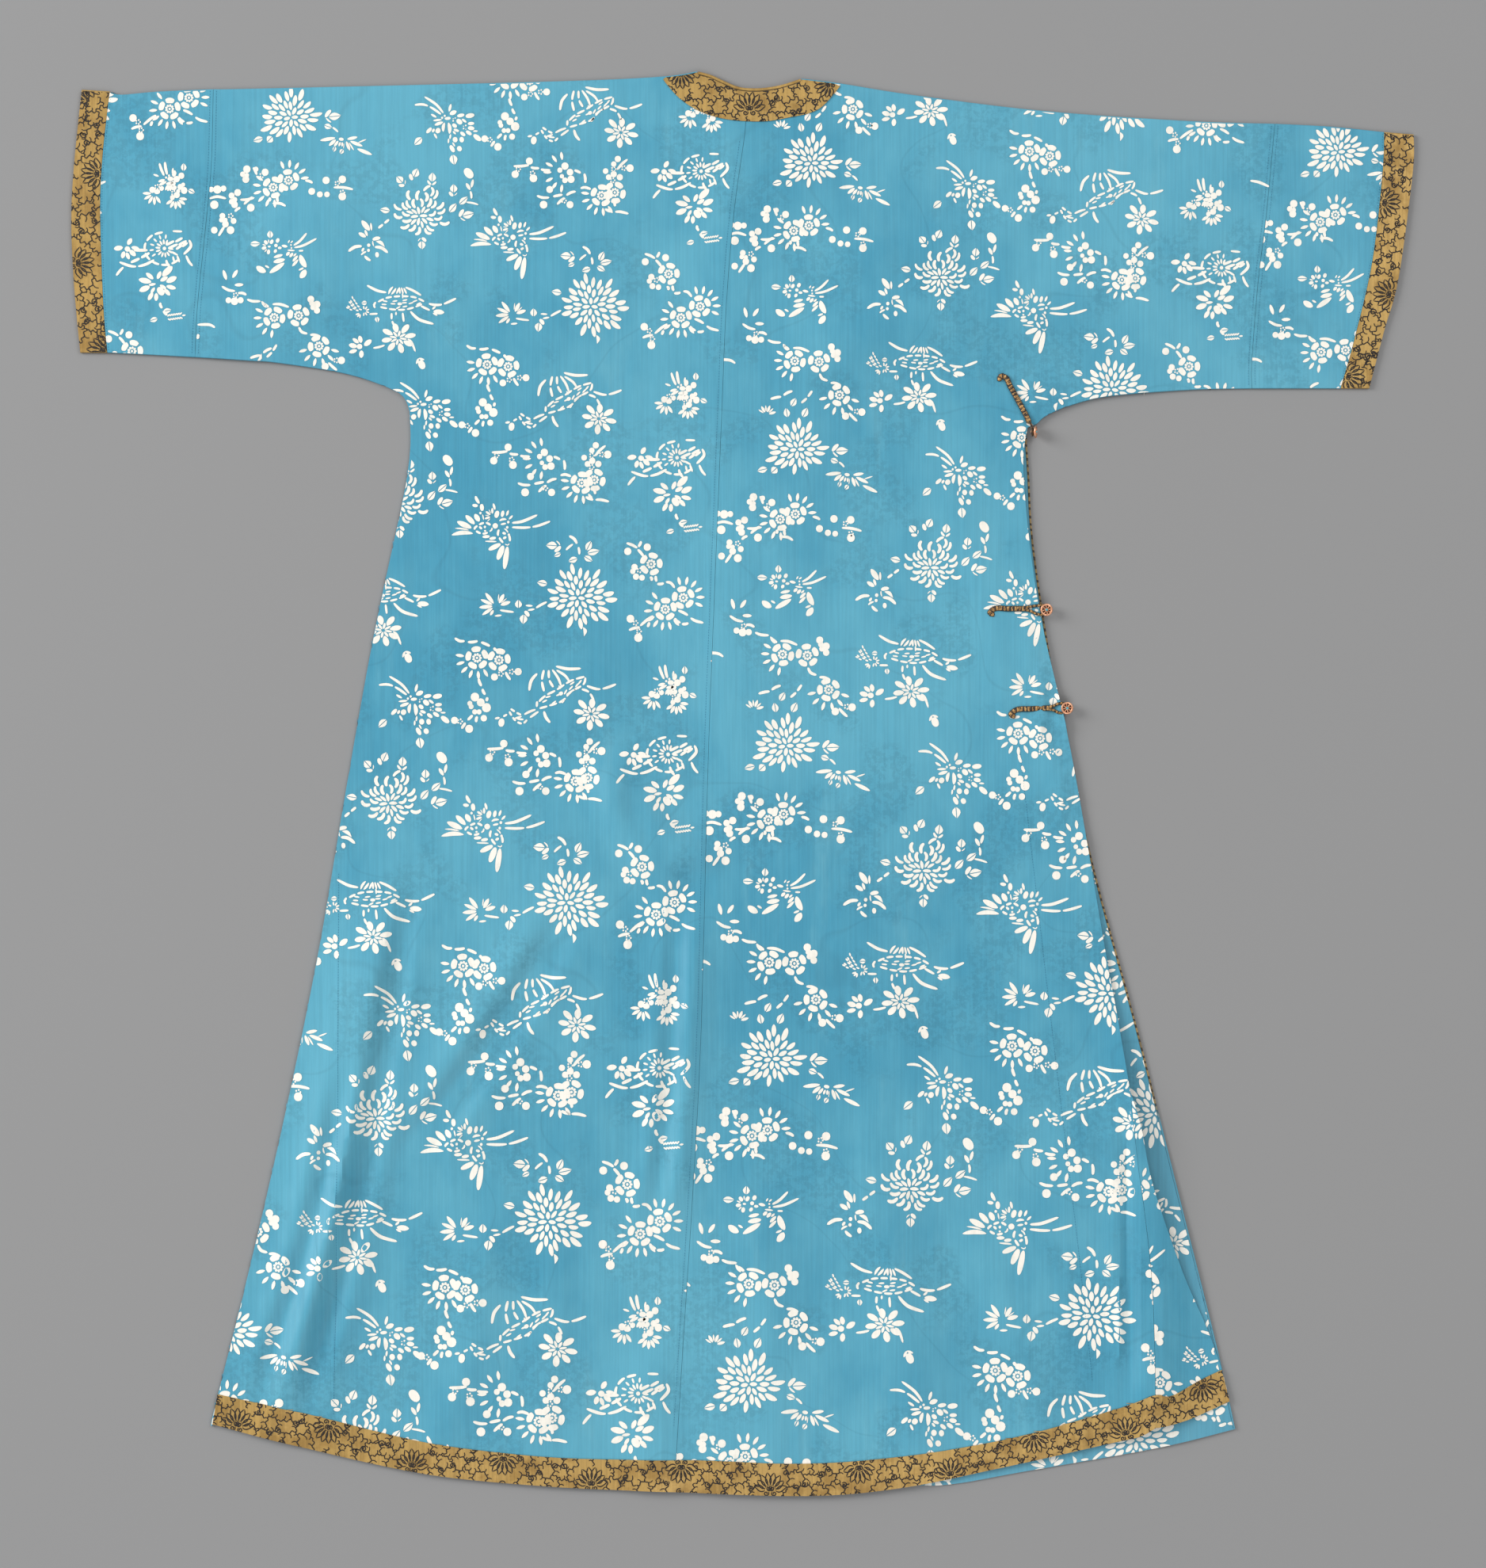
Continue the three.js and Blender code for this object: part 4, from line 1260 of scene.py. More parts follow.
def curled_chrysanthemum():
    """Petals that curl over: straight ones at the heart, and hooks packed round them."""
    made = packed_flower(28, 33, 32, 22, curled_petal)
    return bridged(
        made + stroke([(-11, 24), (-12, 29), (-9, 32)], 2.1)
        + each(three_part_leaf, [(-15, 31, 132, 10), (-7, 36, 66, 11)]) + hook(4, 25, 60, 9, 2.8, -50)
        + each(three_part_leaf, [(12, 31, 84, 11), (34, 20, 88, 10)])
        + each(split_leaf, [(40, 12, 40, 11, 6.4), (30, 4, 50, 11, 7.0)])
        + three_part_leaf(40, -1, 14, 14)
        + each(stroke, [([(46, 14), (53, 13), (60, 11)], 2.4), ([(52, 17), (52, 21), (51, 25)], 2.0)])
        + each(petal, [(53, 38, 128, 12, 7.6, 0, 0.9), (51, 26, 122, 8, 3.2), (52, 28, 78, 9, 3.2)])
        + three_part_leaf(2, -22, 272, 10) + split_leaf(-30, 5, 170, 10, 6.6)
        + broken([(-30, -3), (-36, -8), (-42, -13)], 2, 2.3) + placed(tendril_orchid(), -51, -35)
        + each(petal, [(-50, -15, 128, 13, 5.0), (-48, -16, 96, 10, 4.2)]),
        0.15, 0.4,
    )


def open_flower():
    """A star of broad pointed petals, with slender ones between them."""
    made = []
    for k, long in enumerate([11.5, 12.5, 11, 12, 10.5, 11.5, 12, 10.5]):
        angle = 12 + 45 * k
        a = math.radians(angle)
        made += petal(6.4 * math.cos(a), 6.4 * math.sin(a), angle, long, 5.6, 0, 1.15, 1.15)
        b = math.radians(angle + 22)
        made += petal(1.6 * math.cos(b), 1.6 * math.sin(b), angle + 22, 7.2, 2.4, 0, 1.2)
    return placed(made, 0, 0, 0, 1.0, 0.84)


def lotus_flower():
    """A flower seen from the side: broad petals to both sides, short ones beneath."""
    return each(petal, [
        (-5, 2, 168, 13, 5.2), (-3, 5, 140, 9.5, 4.0), (1, 5, 66, 8.5, 3.8), (6, 8, 44, 14, 6.0),
        (10, 2, 26, 11.5, 5.4), (4, 3, 30, 8.5, 4.0), (3.5, -1, 330, 7.4, 3.2), (10, -2, 346, 10, 4.0),
        (8, -5, 312, 8.6, 4.0), (1.6, -3.4, 306, 9.4, 6.2, 0, 0.95), (-6.5, -2.5, 203, 11.5, 5.4),
        (-1.6, -3.4, 236, 7, 3.0), (-3.6, -8.4, 240, 9, 4.0), (0, -9, 268, 8, 4.0),
        (-0.5, 0.2, 190, 7.4, 2.6),
    ])


def small_flower():
    """A small side flower of broad pointed petals."""
    return (
        each(petal, [
            (2.5, 1.5, 38, 9.2, 4.8), (-0.5, 4.2, 104, 7.4, 4.2), (-3, 4, 142, 7.6, 3.6),
            (-4.5, 0.4, 166, 8.6, 4.6), (-4.6, -3.0, 196, 8.4, 3.8), (-0.2, -3.2, 268, 7.6, 4.4),
        ])
        + blob(-2.2, 0.6, 2.5, 1.15)
    )


def narrow_spray():
    """Long narrow leaves to both sides of a small bud, shorter ones hanging from it."""
    made = blob(0, 3.0, 1.5, 1.7, -8)
    rows = [
        (-6, 4.4, 190, 15.5, 3.4), (-5.5, 2.6, 222, 9.2, 3.2), (-3.0, 1.4, 234, 7.0, 2.6),
        (-1.0, 0.2, 252, 4.6, 2.0), (1.0, 0.0, 268, 4.4, 2.0), (2.8, 0.6, 266, 8.4, 2.8),
        (5.0, 0.8, 292, 9.8, 3.0), (7.2, 0.6, 302, 11.4, 3.2), (9.0, 1.0, 338, 13.4, 3.2),
        (6.0, 3.0, 12, 10.5, 3.0), (15.5, -1.0, 22, 12.0, 3.6), (16.0, -6.6, 338, 16.0, 3.4),
    ]
    for row in rows:
        made += petal(*row)
    return made + each(split_leaf, [(-6.2, -4.4, 250, 5.6, 4.4), (1.8, -7.2, 236, 5.4, 4.6)])


def winged_insect():
    """A moth seen from the side, with beaded wings and two long feelers."""
    made = (
        each(stroke, [([(9.5, 2.6), (16, 7), (23, 15)], 2.2), ([(10, 0.4), (20, 2.8), (33, 9.6)], 2.2)])
        + each(blob, [(7, 3, 0.9), (7.4, 0, 0.9)])
        + each(petal, [(4, 5, 60, 3.4, 1.4), (6.5, 5, 40, 3.4, 1.4)])
        + fan(-15, 1.6, 62, 262, 7, 2.9, 4.9, 3.2, 0.9) + blob(-15, 1.6, 1.9)
        + fan(-8.4, 3.2, 66, 196, 4, 2.4, 4.8, 3.4, 0.9) + blob(-8.2, 2.6, 1.9)
        + each(petal, [
            (-5.6, 4.4, 128, 6.6, 3.6), (-2.6, 3.4, 150, 4.2, 2.4), (-7.6, -1.2, 235, 4.2, 3.0),
            (3.6, 1.4, 170, 6.2, 2.6),
        ])
        + blob(-4.4, 0.2, 1.7, 1.3)
        + each(petal, [
            (11, -2.6, 176, 8.0, 2.0), (-4.6, -4.6, 183, 10.6, 3.0), (-1.4, -6.6, 196, 9.6, 3.0),
            (0.6, -9.0, 182, 5.0, 2.2), (0.8, -11.2, 193, 12.0, 4.2), (0.6, -14.4, 214, 19.0, 5.4),
            (5.6, -3.8, 226, 5.2, 3.4), (9.0, -4.6, 232, 5.8, 3.4), (12.6, -5.0, 224, 5.0, 3.0),
            (14.0, -7.2, 228, 8.6, 3.8), (14.6, -10.8, 228, 10.6, 4.4),
            (16.0, -6.6, 296, 14.0, 5.4, -0.8),
            (-18.4, -23.6, 150, 11.0, 5.6, 0.6), (-15.0, -19.6, 152, 5.0, 2.0),
            (21.4, -21.4, 236, 10.0, 5.6, 0.6), (19.6, -19.6, 205, 5.8, 2.0),
        ])
        + stroke([(14.5, -2.8), (19.5, -2.6)], 1.6)
    )
    return bridged(made, 0.35) + each(
        split_leaf, [(-34, 4.4, 0, 10.0, 6.0), (-14.0, 10.2, 90, 7.4, 6.6)]
    )


def leafy_butterfly():
    """A butterfly from above, its wings made up of petals, buds and berries."""
    made = (
        stroke([(-4.6, 7.2), (-12, 16), (-24, 24)], 2.3)
        + broken([(-6.4, 5.6), (-16, 12.4), (-25, 16), (-34.5, 15.4)], 2, 2.2)
        + each(petal, [(-11.5, 3.0, 150, 6.6, 2.2), (1, 8.8, 76, 8.0, 2.6)])
        + each(blob, [(-3.4, 4.6, 1.1), (-6, 2.6, 1.1), (-0.4, 2.0, 2.4, 1.5, 6)])
        + each(petal, [
            (1.6, 6.2, 24, 7.6, 4.2), (-5.6, 0.8, 186, 10.2, 3.6), (-5.0, -1.6, 200, 9.2, 3.0),
            (-3.4, -2.0, 262, 9.8, 3.6, -0.8), (0.2, -2.2, 276, 11.4, 3.6, 0.8),
        ])
        + each(petal, [
            (-12.5, -4.6, 204, 5.6, 3.0), (-16.6, -7.4, 226, 7.4, 3.4), (-13.6, -8.0, 240, 5.0, 5.0),
            (-8.6, -8.0, 236, 5.6, 4.8), (-14.4, -12.6, 300, 7.2, 4.4), (-7.4, -11.6, 240, 7.8, 4.6),
            (-4.6, -7.6, 268, 6.6, 4.0), (-11.2, -13.0, 6, 5.0, 2.6), (-17.6, -12.0, 226, 8.6, 6.6),
        ], 0, 0.95)
        + split_leaf(-26.4, -17.6, 222, 10.4, 7.4)
        + each(petal, [
            (9.0, 4.2, 12, 7.6, 3.4), (8.8, 1.0, 318, 6.8, 4.6), (13.6, 1.6, 324, 6.4, 3.2),
            (17.6, 4.0, 10, 9.0, 4.4), (19.8, -3.4, 4, 6.6, 3.2), (19.8, -7.4, 352, 6.8, 3.8),
            (25.0, -6.4, 350, 6.0, 2.8), (24.6, -10.8, 0, 5.8, 2.8), (18.0, -10.6, 326, 6.8, 3.4),
            (25.6, -14.4, 322, 9.6, 4.6), (4.4, -3.6, 322, 5.4, 3.6), (5.6, -9.0, 340, 5.8, 2.6),
            (4.6, -10.6, 314, 5.0, 3.2), (12.2, -11.6, 322, 6.6, 3.8), (2.6, -13.4, 262, 6.0, 3.0),
            (6.6, -16.6, 280, 5.6, 4.6), (13.2, -16.4, 280, 6.0, 5.0), (8.0, -22.4, 350, 7.6, 3.2),
            (0.6, -17.6, 266, 6.0, 3.4), (4.2, -21.6, 300, 6.0, 3.4), (10.0, -26.0, 300, 5.6, 4.6),
            (1.8, -24.4, 300, 9.4, 6.6),
        ], 0, 0.95)
        + each(stamens, [(6.6, 0.6, 1.8), (17.2, -7.0, 2.0)]) + blob(9.8, -13.2, 1.9)
    )
    return bridged(made, 0.35) + split_leaf(4.8, -34.6, 278, 10.4, 8.6)


def swallowtail():
    """A butterfly from the side, its wings fanned back and down."""
    made = (
        stroke([(8.8, 2.0), (19.4, 3.6), (34, 10)], 2.6)
        + broken([(8.2, -2.2), (22, -2.6), (34, -0.8), (47, 4)], 2, 2.3)
        + each(petal, [(6.0, 5.4, 46, 5.4, 2.0), (3.6, 8.8, 70, 6.0, 2.2)])
        + each(blob, [(5.4, 2.8, 1.3), (4.4, -2.4, 1.3), (0.6, 1.0, 2.6, 1.4, 12)])
        + each(petal, [
            (-3.4, 3.8, 12, 7.4, 2.2, 1.0), (-1, 7.2, 78, 7.6, 5.2, 0, 0.9),
            (-6.8, 6.8, 74, 7.4, 4.2, 0, 0.9), (-8.6, 1.4, 300, 5.4, 5.0, 0, 0.9),
        ])
        + blob(-3.4, -2.8, 2.5, 1.15, 40) + fan(-10, 8.6, 92, 226, 6, 2.4, 5.6, 2.2, 1.0)
        + each(petal, [
            (-7.4, 14.4, 106, 7.4, 3.2), (-10, 13.6, 132, 7.0, 3.0), (-20, 13.6, 96, 7.0, 3.8, 0, 0.9),
        ])
        + fan(-21.6, 18.6, 118, 200, 4, 2.6, 8.4, 3.0, 1.0, 0.4, -0.5) + blob(-21.8, 11.6, 1.2)
        + each(petal, [
            (-13.6, 3.6, 92, 7.6, 3.6), (-18.2, 3.8, 104, 7.8, 3.4), (-22.8, 3.4, 122, 8.6, 4.6),
            (-27.4, 0.8, 136, 12.4, 4.6), (-30.4, -3.0, 156, 15.6, 5.0),
            (-30.8, -5.6, 172, 18.4, 4.2, -0.8), (-29.0, -8.4, 184, 21.0, 3.8, -1.6),
        ])
        + broken(
            [(-11.0, -0.6), (-18, 2.2), (-27.6, -3.6), (-20, -8.6), (-11.4, -5.6), (-10.4, -1.6)], 6,
            2.0
        )
        + each(blob, [(-21.6, -2.8, 1.1, 1.8, -40), (-17.4, -2.0, 1.2), (-17.2, -5.8, 1.2)])
        + each(petal, [
            (-5.4, -6.4, 160, 6.2, 3.4), (-7.2, -9.6, 166, 8.8, 3.2), (-12.4, -11.2, 184, 7.6, 3.4),
            (-5.6, -12.4, 190, 8.4, 6.0), (-4.4, -16.4, 178, 14.2, 3.2), (-2.0, -18.6, 206, 13.2, 4.4),
            (0.6, -20.2, 248, 15.0, 5.2), (4.8, -20.6, 262, 23.4, 5.6),
        ], 0, 0.9)
        + broken(
            [
                (-3.4, -3.6), (-4.6, -9.8), (0.6, -17.6), (5.8, -19.8), (7.0, -13.6), (4.6, -6.2),
                (0.4, -2.8)
            ], 5, 2.1
        )
    )
    return (
        bridged(made, 0.35)
        + each(blob, [(1.4, -8.2, 1.2, 1.6, 160), (2.0, -12.6, 1.2, 1.6, 30), (6.0, -9.6, 1.2)])
    )


def berry_butterfly():
    """A butterfly whose wings are made of berries and pointed leaves."""
    return (
        each(stroke, [
            ([(-5.6, 4.4), (-8.6, 11), (-10.6, 17.4)], 2.4),
            ([(-2.6, 5.4), (-4.2, 12), (-5.0, 18.8)], 2.6),
        ])
        + each(petal, [(2.6, 6.4, 84, 6.2, 2.0), (-11.0, 4.0, 160, 6.0, 2.0)])
        + each(blob, [(-0.8, 4.8, 1.1), (-3.8, 2.8, 1.1), (0.6, 1.4, 2.2, 1.4, -6)])
        + petal(3.6, 3.4, 78, 6.8, 4.2) + each(blob, [(6.8, 1.2, 3.0, 1.1, 30), (11.6, 4.6, 3.0)])
        + each(
            petal, [(3.6, -2.6, 188, 7.6, 3.2), (-4.8, 0.6, 196, 7.2, 2.8), (-3.2, -1.0, 208, 8.8, 2.8)]
        )
        + fan(-0.6, -2.0, 244, 296, 4, 3.0, 6.0, 2.3, 1.0)
        + each(blob, [
            (3.4, -3.2, 2.2, 1.2, 20), (4.6, -7.6, 2.0, 1.3, 50), (-17.6, -9.6, 3.0),
            (-12.8, -11.4, 2.4, 1.3), (-8.2, -8.2, 2.1, 1.2, 60),
        ])
        + stamens(-12.8, -6.6) + fan(-15.8, -13.4, 178, 304, 5, 3.0, 8.6, 2.9, 1.5)
        + each(blob, [(10.4, -6.6, 2.8), (13.4, -4.4, 2.0), (14.4, -10.2, 3.3), (8.4, -11.0, 2.0)])
        + stamens(4.0, -12.8) + each(blob, [(7.0, -14.8, 2.9, 1.1), (2.6, -17.4, 2.4)])
        + fan(6.0, -17.6, 214, 352, 6, 3.6, 8.0, 3.0, 1.5)
        + each(split_leaf, [(13.8, 9.6, 88, 7.6, 6.0), (18.6, -9.4, 332, 7.4, 5.4)])
    )


def straw_hat():
    """A flat basket hat: a dashed oval rim with short straws inside, a crown above, and long ribbons."""
    made = each(broken, [
        ([(-24, 1), (-14, 5.4), (0, 6.8), (14, 5.6), (24, 1)], 6, 1.9),
        ([(-22, -3.4), (-10, -6.0), (2, -6.6), (12, -4.6), (22, -0.6)], 5, 1.9),
    ])
    for x, y, turn in [
        (-16, 1.6, 170), (-17, -1.4, 176), (-6, 2.4, 188), (-8, -0.8, 176), (4, 3.4, 192),
        (10, 0.6, 196),
        (3.5, 0.4, 182), (14, 2.8, 200), (-3, -3.2, 208), (4, -3.0, 190), (-0.6, 4.6, 94),
        (17.6, 0.4, 205),
    ]:
        made += petal(x + 2.4, y, turn, 5.2, 1.5, 0, 0.8)
    made += (
        blob(-1.4, -0.8, 1.4, 1.7)
        + each(petal, [(-12.6, 8.8, 58, 9.0, 2.2, 0.8), (-10.0, 8.6, 52, 8.2, 2.2, -0.4)])
    )
    for x, turn in [(-4.6, 66), (-1.0, 96), (2.2, 106), (5.6, 116)]:
        made += petal(x, 9.2, turn, 6.6, 1.8, 0, 0.8)
    made += (
        each(stroke, [
            ([(4.2, 15.8), (12, 12.4), (20.5, 7.4)], 2.2),
            ([(-34.6, 18), (-24, 12.6), (-14.5, 10.6)], 2.4),
        ])
        + broken([(27, -0.4), (34, -2.0), (43, -1.0), (56, 5.0)], 2, 2.3)
        + each(
            stroke, [([(19.5, -2.8), (29.0, -7.4)], 2.1), ([(9, -8.0), (18, -16.4), (33, -21.0)], 2.7)]
        )
        + broken([(-9.6, -9), (-9.4, -17), (-6.0, -24)], 2, 2.0) + petal(-5.2, -8.6, 270, 3.6, 1.8)
        + stroke([(1.4, -9.4), (2.6, -18.8)], 2.0)
        + each(petal, [
            (32.4, -8.4, 354, 11.0, 4.6), (31.2, -6.4, 40, 4.6, 2.0), (31.8, -10.0, 332, 5.4, 1.8),
        ])
        + broken([(-25, 2.0), (-27.4, -2.0), (-25.6, -5.4)], 1, 2.0)
        + stroke([(-23.4, -10.4), (-32.2, -10.8)], 1.9)
    )
    for row in range(5):
        for column in range(5 - row):
            x, y = -39.5 - 1.2 * column - 2.2 * row, -6.6 + 2.7 * row + 0.4 * column - 1.4 * (column % 2)
            made += petal(x - 2.0 * column, y, 160 - 12 * row, 3.3, 1.5, 0, 0.9)
    return (
        made
        + each(fan, [
            (-37, -7.6, -100, 100, 6, 1.6, 3.6, 1.5, 0.9), (-41, -9.6, 200, 262, 3, 1.2, 4.0, 1.6, 0.9),
        ])
        + each(split_leaf, [(-34.5, 0.6, 184, 5.6, 4.6), (-24.5, -13.6, 276, 5.6, 4.8)])
    )


def lantern_basket():
    """A slanting basket with a high looped handle, ribbons, and a knot at its lower end."""
    made = (
        each(broken, [
            ([(-23, -8), (-16, -1.6), (-6, 3.6), (8, 12.4), (22, 16.6)], 5, 2.0),
            ([(22, 16.6), (20, 9.0), (8, 2.0), (0, -6.6), (-14, -11.6), (-22.6, -14)], 6, 2.0),
        ])
        + stroke([(-24.0, -6.8), (-24.4, -12.6)], 2.0)
    )
    for x, y, turn in [
        (-13, -3.0, 196), (-16.5, -6.6, 208), (-8, -7.6, 218), (-3, -0.6, 204), (2.4, 3.2, 240),
        (8, 6.6, 226),
        (14, 9.4, 226), (6.4, 0.8, 208), (10.6, 3.6, 206), (16.4, 12.4, 232), (0.6, -5.2, 238),
        (9.6, 10.6, 214),
    ]:
        made += petal(x + 2.0, y + 1, turn, 5.4, 1.6, 0, 0.8)
    return (
        made + blob(-1.4, 0.4, 1.7, 1.3, 30) + petal(-1.6, 4.6, 118, 4.0, 1.7)
        + stroke([(-23.8, 19.6), (-29.6, 12.6), (-31.6, 2.8)], 2.6)
        + each(broken, [
            ([(-17.4, 23.6), (-19.4, 12.4), (-17.2, 1.6)], 2, 2.3),
            ([(-13.0, 23.6), (-12.4, 13.4), (-8.0, 5.6)], 2, 2.2),
        ])
        + each(stroke, [
            ([(-9.8, 23.4), (-4.2, 15.4), (-1.2, 7.6)], 2.2),
            ([(-5.8, 22.8), (2.6, 17.4), (6.8, 11.6)], 2.2),
            ([(-6.4, 26.4), (5.2, 23.8), (18.0, 24.2)], 2.6),
        ])
        + each(broken, [
            ([(22.4, 8.0), (33, 4.6), (42, 5.8), (52, 9.6)], 2, 2.3),
            ([(17.6, 4.8), (25.4, 1.6), (30.4, -7.2)], 2, 2.1),
            ([(-24.6, -14.6), (-31, -16.8), (-37, -20.0)], 1, 2.1),
        ])
        + stroke([(-22.6, -16.6), (-31.0, -22.6)], 2.1)
        + each(broken, [
            ([(-38.4, -20.4), (-44, -17.6), (-50, -13.6)], 2, 1.9),
            ([(-33.0, -24.0), (-38, -28.2), (-45, -25.0), (-51, -16.0)], 4, 1.9),
        ])
        + each(petal, [(-38.6, -21.4, 196, 7.4, 1.8, 0, 0.8), (-36.8, -24.4, 174, 6.6, 1.8, 0, 0.8)])
        + each(stroke, [
            ([(-17.6, -16.2), (-15.6, -22.4), (-11.4, -27.6)], 2.6),
            ([(-52.4, -19.4), (-56.4, -21.6)], 1.8),
        ])
        + each(petal, [(-57.4, -23.2, 262, 8.2, 5.4, 0, 0.9), (-59.4, -22.6, 190, 5.0, 2.2)])
    )


def ribbon_ball():
    """A round woven ball of short dashes, its ribbons trailing to both sides."""
    made = (
        broken(
            [
                (20 * math.cos(a), 16.6 * math.sin(a)) for a in np.radians([92, 130, 168, 206, 244, 282, 320])
            ], 7, 2.2
        )
        + blob(0, 0, 1.7, 1.1, 100)
    )
    for k in range(12):
        a = math.radians(70 + 26 * k)
        made += petal(4.0 * math.cos(a), 4.0 * math.sin(a), math.degrees(a), 5.2, 1.9, 0, 0.9)
    for k in range(6):
        a = math.radians(84 + 26 * k)
        made += petal(10.6 * math.cos(a), 9.6 * math.sin(a), math.degrees(a), 4.6, 1.8, 0, 0.9)
    for y, low, high in [
        (6.2, 1.4, 10), (3.0, 3.4, 13.6), (9.4, 10.6, 18.4), (6.4, 14.0, 22.4), (2.0, 11.4, 17.6),
        (4.6, 17.4, 23.4)
    ]:
        made += stroke([(low, y - 3.0), (high, y + 1.4)], 2.4)
    return (
        made
        + each(stroke, [
            ([(8, 17.4), (18, 17.0)], 2.0), ([(24.6, 8.8), (26.4, 2.0), (19.0, -6.2)], 2.6),
            ([(21.6, -6.8), (24.4, -13.0), (28.4, -17.8)], 2.3),
        ])
        + each(petal, [
            (6.4, -3.0, 332, 8.2, 2.0, 0, 0.8), (12.6, -7.0, 290, 7.4, 2.2, 0, 0.8),
            (8.4, -7.8, 284, 6.0, 2.0, 0, 0.8),
        ])
        + stroke([(-16.6, -1.8), (-31.0, -1.8)], 2.7)
        + each(broken, [
            ([(-14.2, -4.0), (-24, -9.6), (-34.6, -14.4)], 2, 2.7),
            ([(-9.6, -11.0), (-20, -16.4), (-32, -18.0), (-46, -13.4)], 2, 2.5),
        ])
        + each(stroke, [
            ([(-41.0, -18.6), (-44.8, -22.4), (-48.6, -27.4)], 2.4),
            ([(1.6, -11.2), (3.0, -15.6), (6.2, -19.6)], 2.4),
        ])
    )


def tendril_orchid():
    """A small drooping flower between two curled tendrils."""
    return (
        each(blob, [(0, 0, 1.5), (0.2, 5.2, 1.7)])
        + each(petal, [
            (-1.6, -1.0, 214, 7.6, 3.2, -0.8, 0.9), (1.8, 1.6, 300, 6.2, 3.4, 0, 0.9),
            (-4.0, -5.4, 322, 8.0, 2.8, -0.6, 0.9),
        ])
        + each(blob, [(8.6, -4.4, 1.8, 1.5, 96), (-5.6, 0.6, 1.6, 1.5, 60)])
        + each(stroke, [
            ([(6.0, 3.4), (13.0, 2.6), (19.6, -2.6)], 2.9),
            ([(-6.4, 4.2), (-13.6, 3.4), (-20.4, -1.2)], 2.9),
        ])
        + each(petal, [
            (-1.6, 9.8, 206, 13.0, 4.0), (-2.6, 13.4, 150, 8.6, 3.8), (-1.0, 14.0, 112, 7.6, 3.4),
        ])
        + three_part_leaf(4.0, 10.6, 328, 13.0)
    )


def grain_ear():
    made = []
    for row in range(6):
        for side in (-1, 1):
            made += petal(2.4 * row, side * 1.1, side * 34, 3.6, 1.5, 0, 0.9)
    return made + petal(14.6, 0, 0, 3.8, 1.7)


def bud(turn=0):
    a = math.radians(turn)
    return each(petal, [
        (2.4 * math.cos(a), 2.4 * math.sin(a), turn, 9.4, 6.2, 0, 0.85), (0, 0, turn + 48, 6.0, 2.2),
        (0, 0, turn - 48, 6.2, 2.2),
    ])


# The sprays of plum that run between the flowers, all in millimetres from the robe's middle.
# Each berry is (x, y, radius).
berries = [
    (-469, 601, 3.4), (-478, 604, 2.4), (-409, 593, 3.5), (-423, 582, 3.3), (-415, 579, 2.9),
    (-408, 579, 2.7), (-393, 594, 3.6), (-393, 577, 3.7), (-522, 584, 2.6), (-516, 584, 3.9),
    (-510, 585, 2.8), (-519, 569, 4), (-483, 566, 3.7), (-496, 581, 3.3), (-502, 578, 2.9),
    (-499, 574, 2.6), (-502, 572, 2.6), (-499, 569, 3.2), (-511, 558, 2.8), (-512, 554, 2.3),
    (-508, 554, 2.1), (-508, 550, 3.2), (-500, 553, 2.8), (-519, 544, 3.2), (-503, 544, 3.7),
    (-487, 604, 3.6), (-491, 599, 2.6), (-488, 594, 3.4), (-487, 598, 2.2), (-505, 475, 2.8),
    (-499, 474, 3.6), (-493, 475, 2.9), (-424, 476, 3.3), (-418, 471, 3.4), (-423, 472, 2.5),
    (-422, 468, 2.5), (-418, 465, 3), (-394, 416, 3.5), (-410, 410, 3.4), (-209, 612, 3.4),
    (-223, 599, 3.5), (-205, 595, 3.7), (-195, 569, 3.7), (-189, 584, 3.3), (-169, 569, 3.4),
    (-110, 605, 3.6), (-122, 614, 3), (-126, 609, 2.6), (-134, 602, 2.7), (-126, 599, 3),
    (-120, 596, 3), (-131, 596, 2.7), (-174, 607, 3.5), (-168, 594, 3.5), (-169, 601, 3.2),
    (-174, 593, 2.7), (-179, 603, 2.5), (-177, 597, 2.1), (-95, 513, 3.4), (-75, 517, 3.4),
    (-89, 498, 3), (-91, 494, 2.5), (-88, 489, 2.9), (-82, 488, 2.7), (-96, 449, 3.6),
    (-89, 431, 3.8), (-214, 675, 3.2), (-192, 680, 3.3), (-233, 656, 3.9), (-228, 651, 3.6),
    (-223, 646, 4.1), (-238, 650, 2.3), (-237, 647, 2.3), (-234, 642, 2.3), (-230, 642, 2.3),
    (-226, 636, 2.9), (-253, 634, 3.2), (-240, 626, 3.6),
]
# Tufts of stamens, (x, y).
stamen_tufts = [
    (-398, 590), (-393, 581), (-503, 558), (-498, 480), (-399, 416), (-472, 598), (-220, 604),
    (-206, 600),
    (-175, 573), (-126, 604), (-127, 593), (-116, 605), (-84, 495), (-91, 445), (-88, 437), (-208, 678),
    (-198, 680), (-248, 633),
]
# Plum blossoms, (x, y, way that the first petal points).
plums = [
    (-461, 586, 70), (-446, 593, 96), (-460, 458, 64), (-436, 460, 100), (-416, 430, 112),
    (-138, 578, 84), (-125, 581, 60), (-72, 501, 76), (-60, 458, 88), (-41, 469, 100),
    (-229, 693, 96), (-209, 691, 80),
]
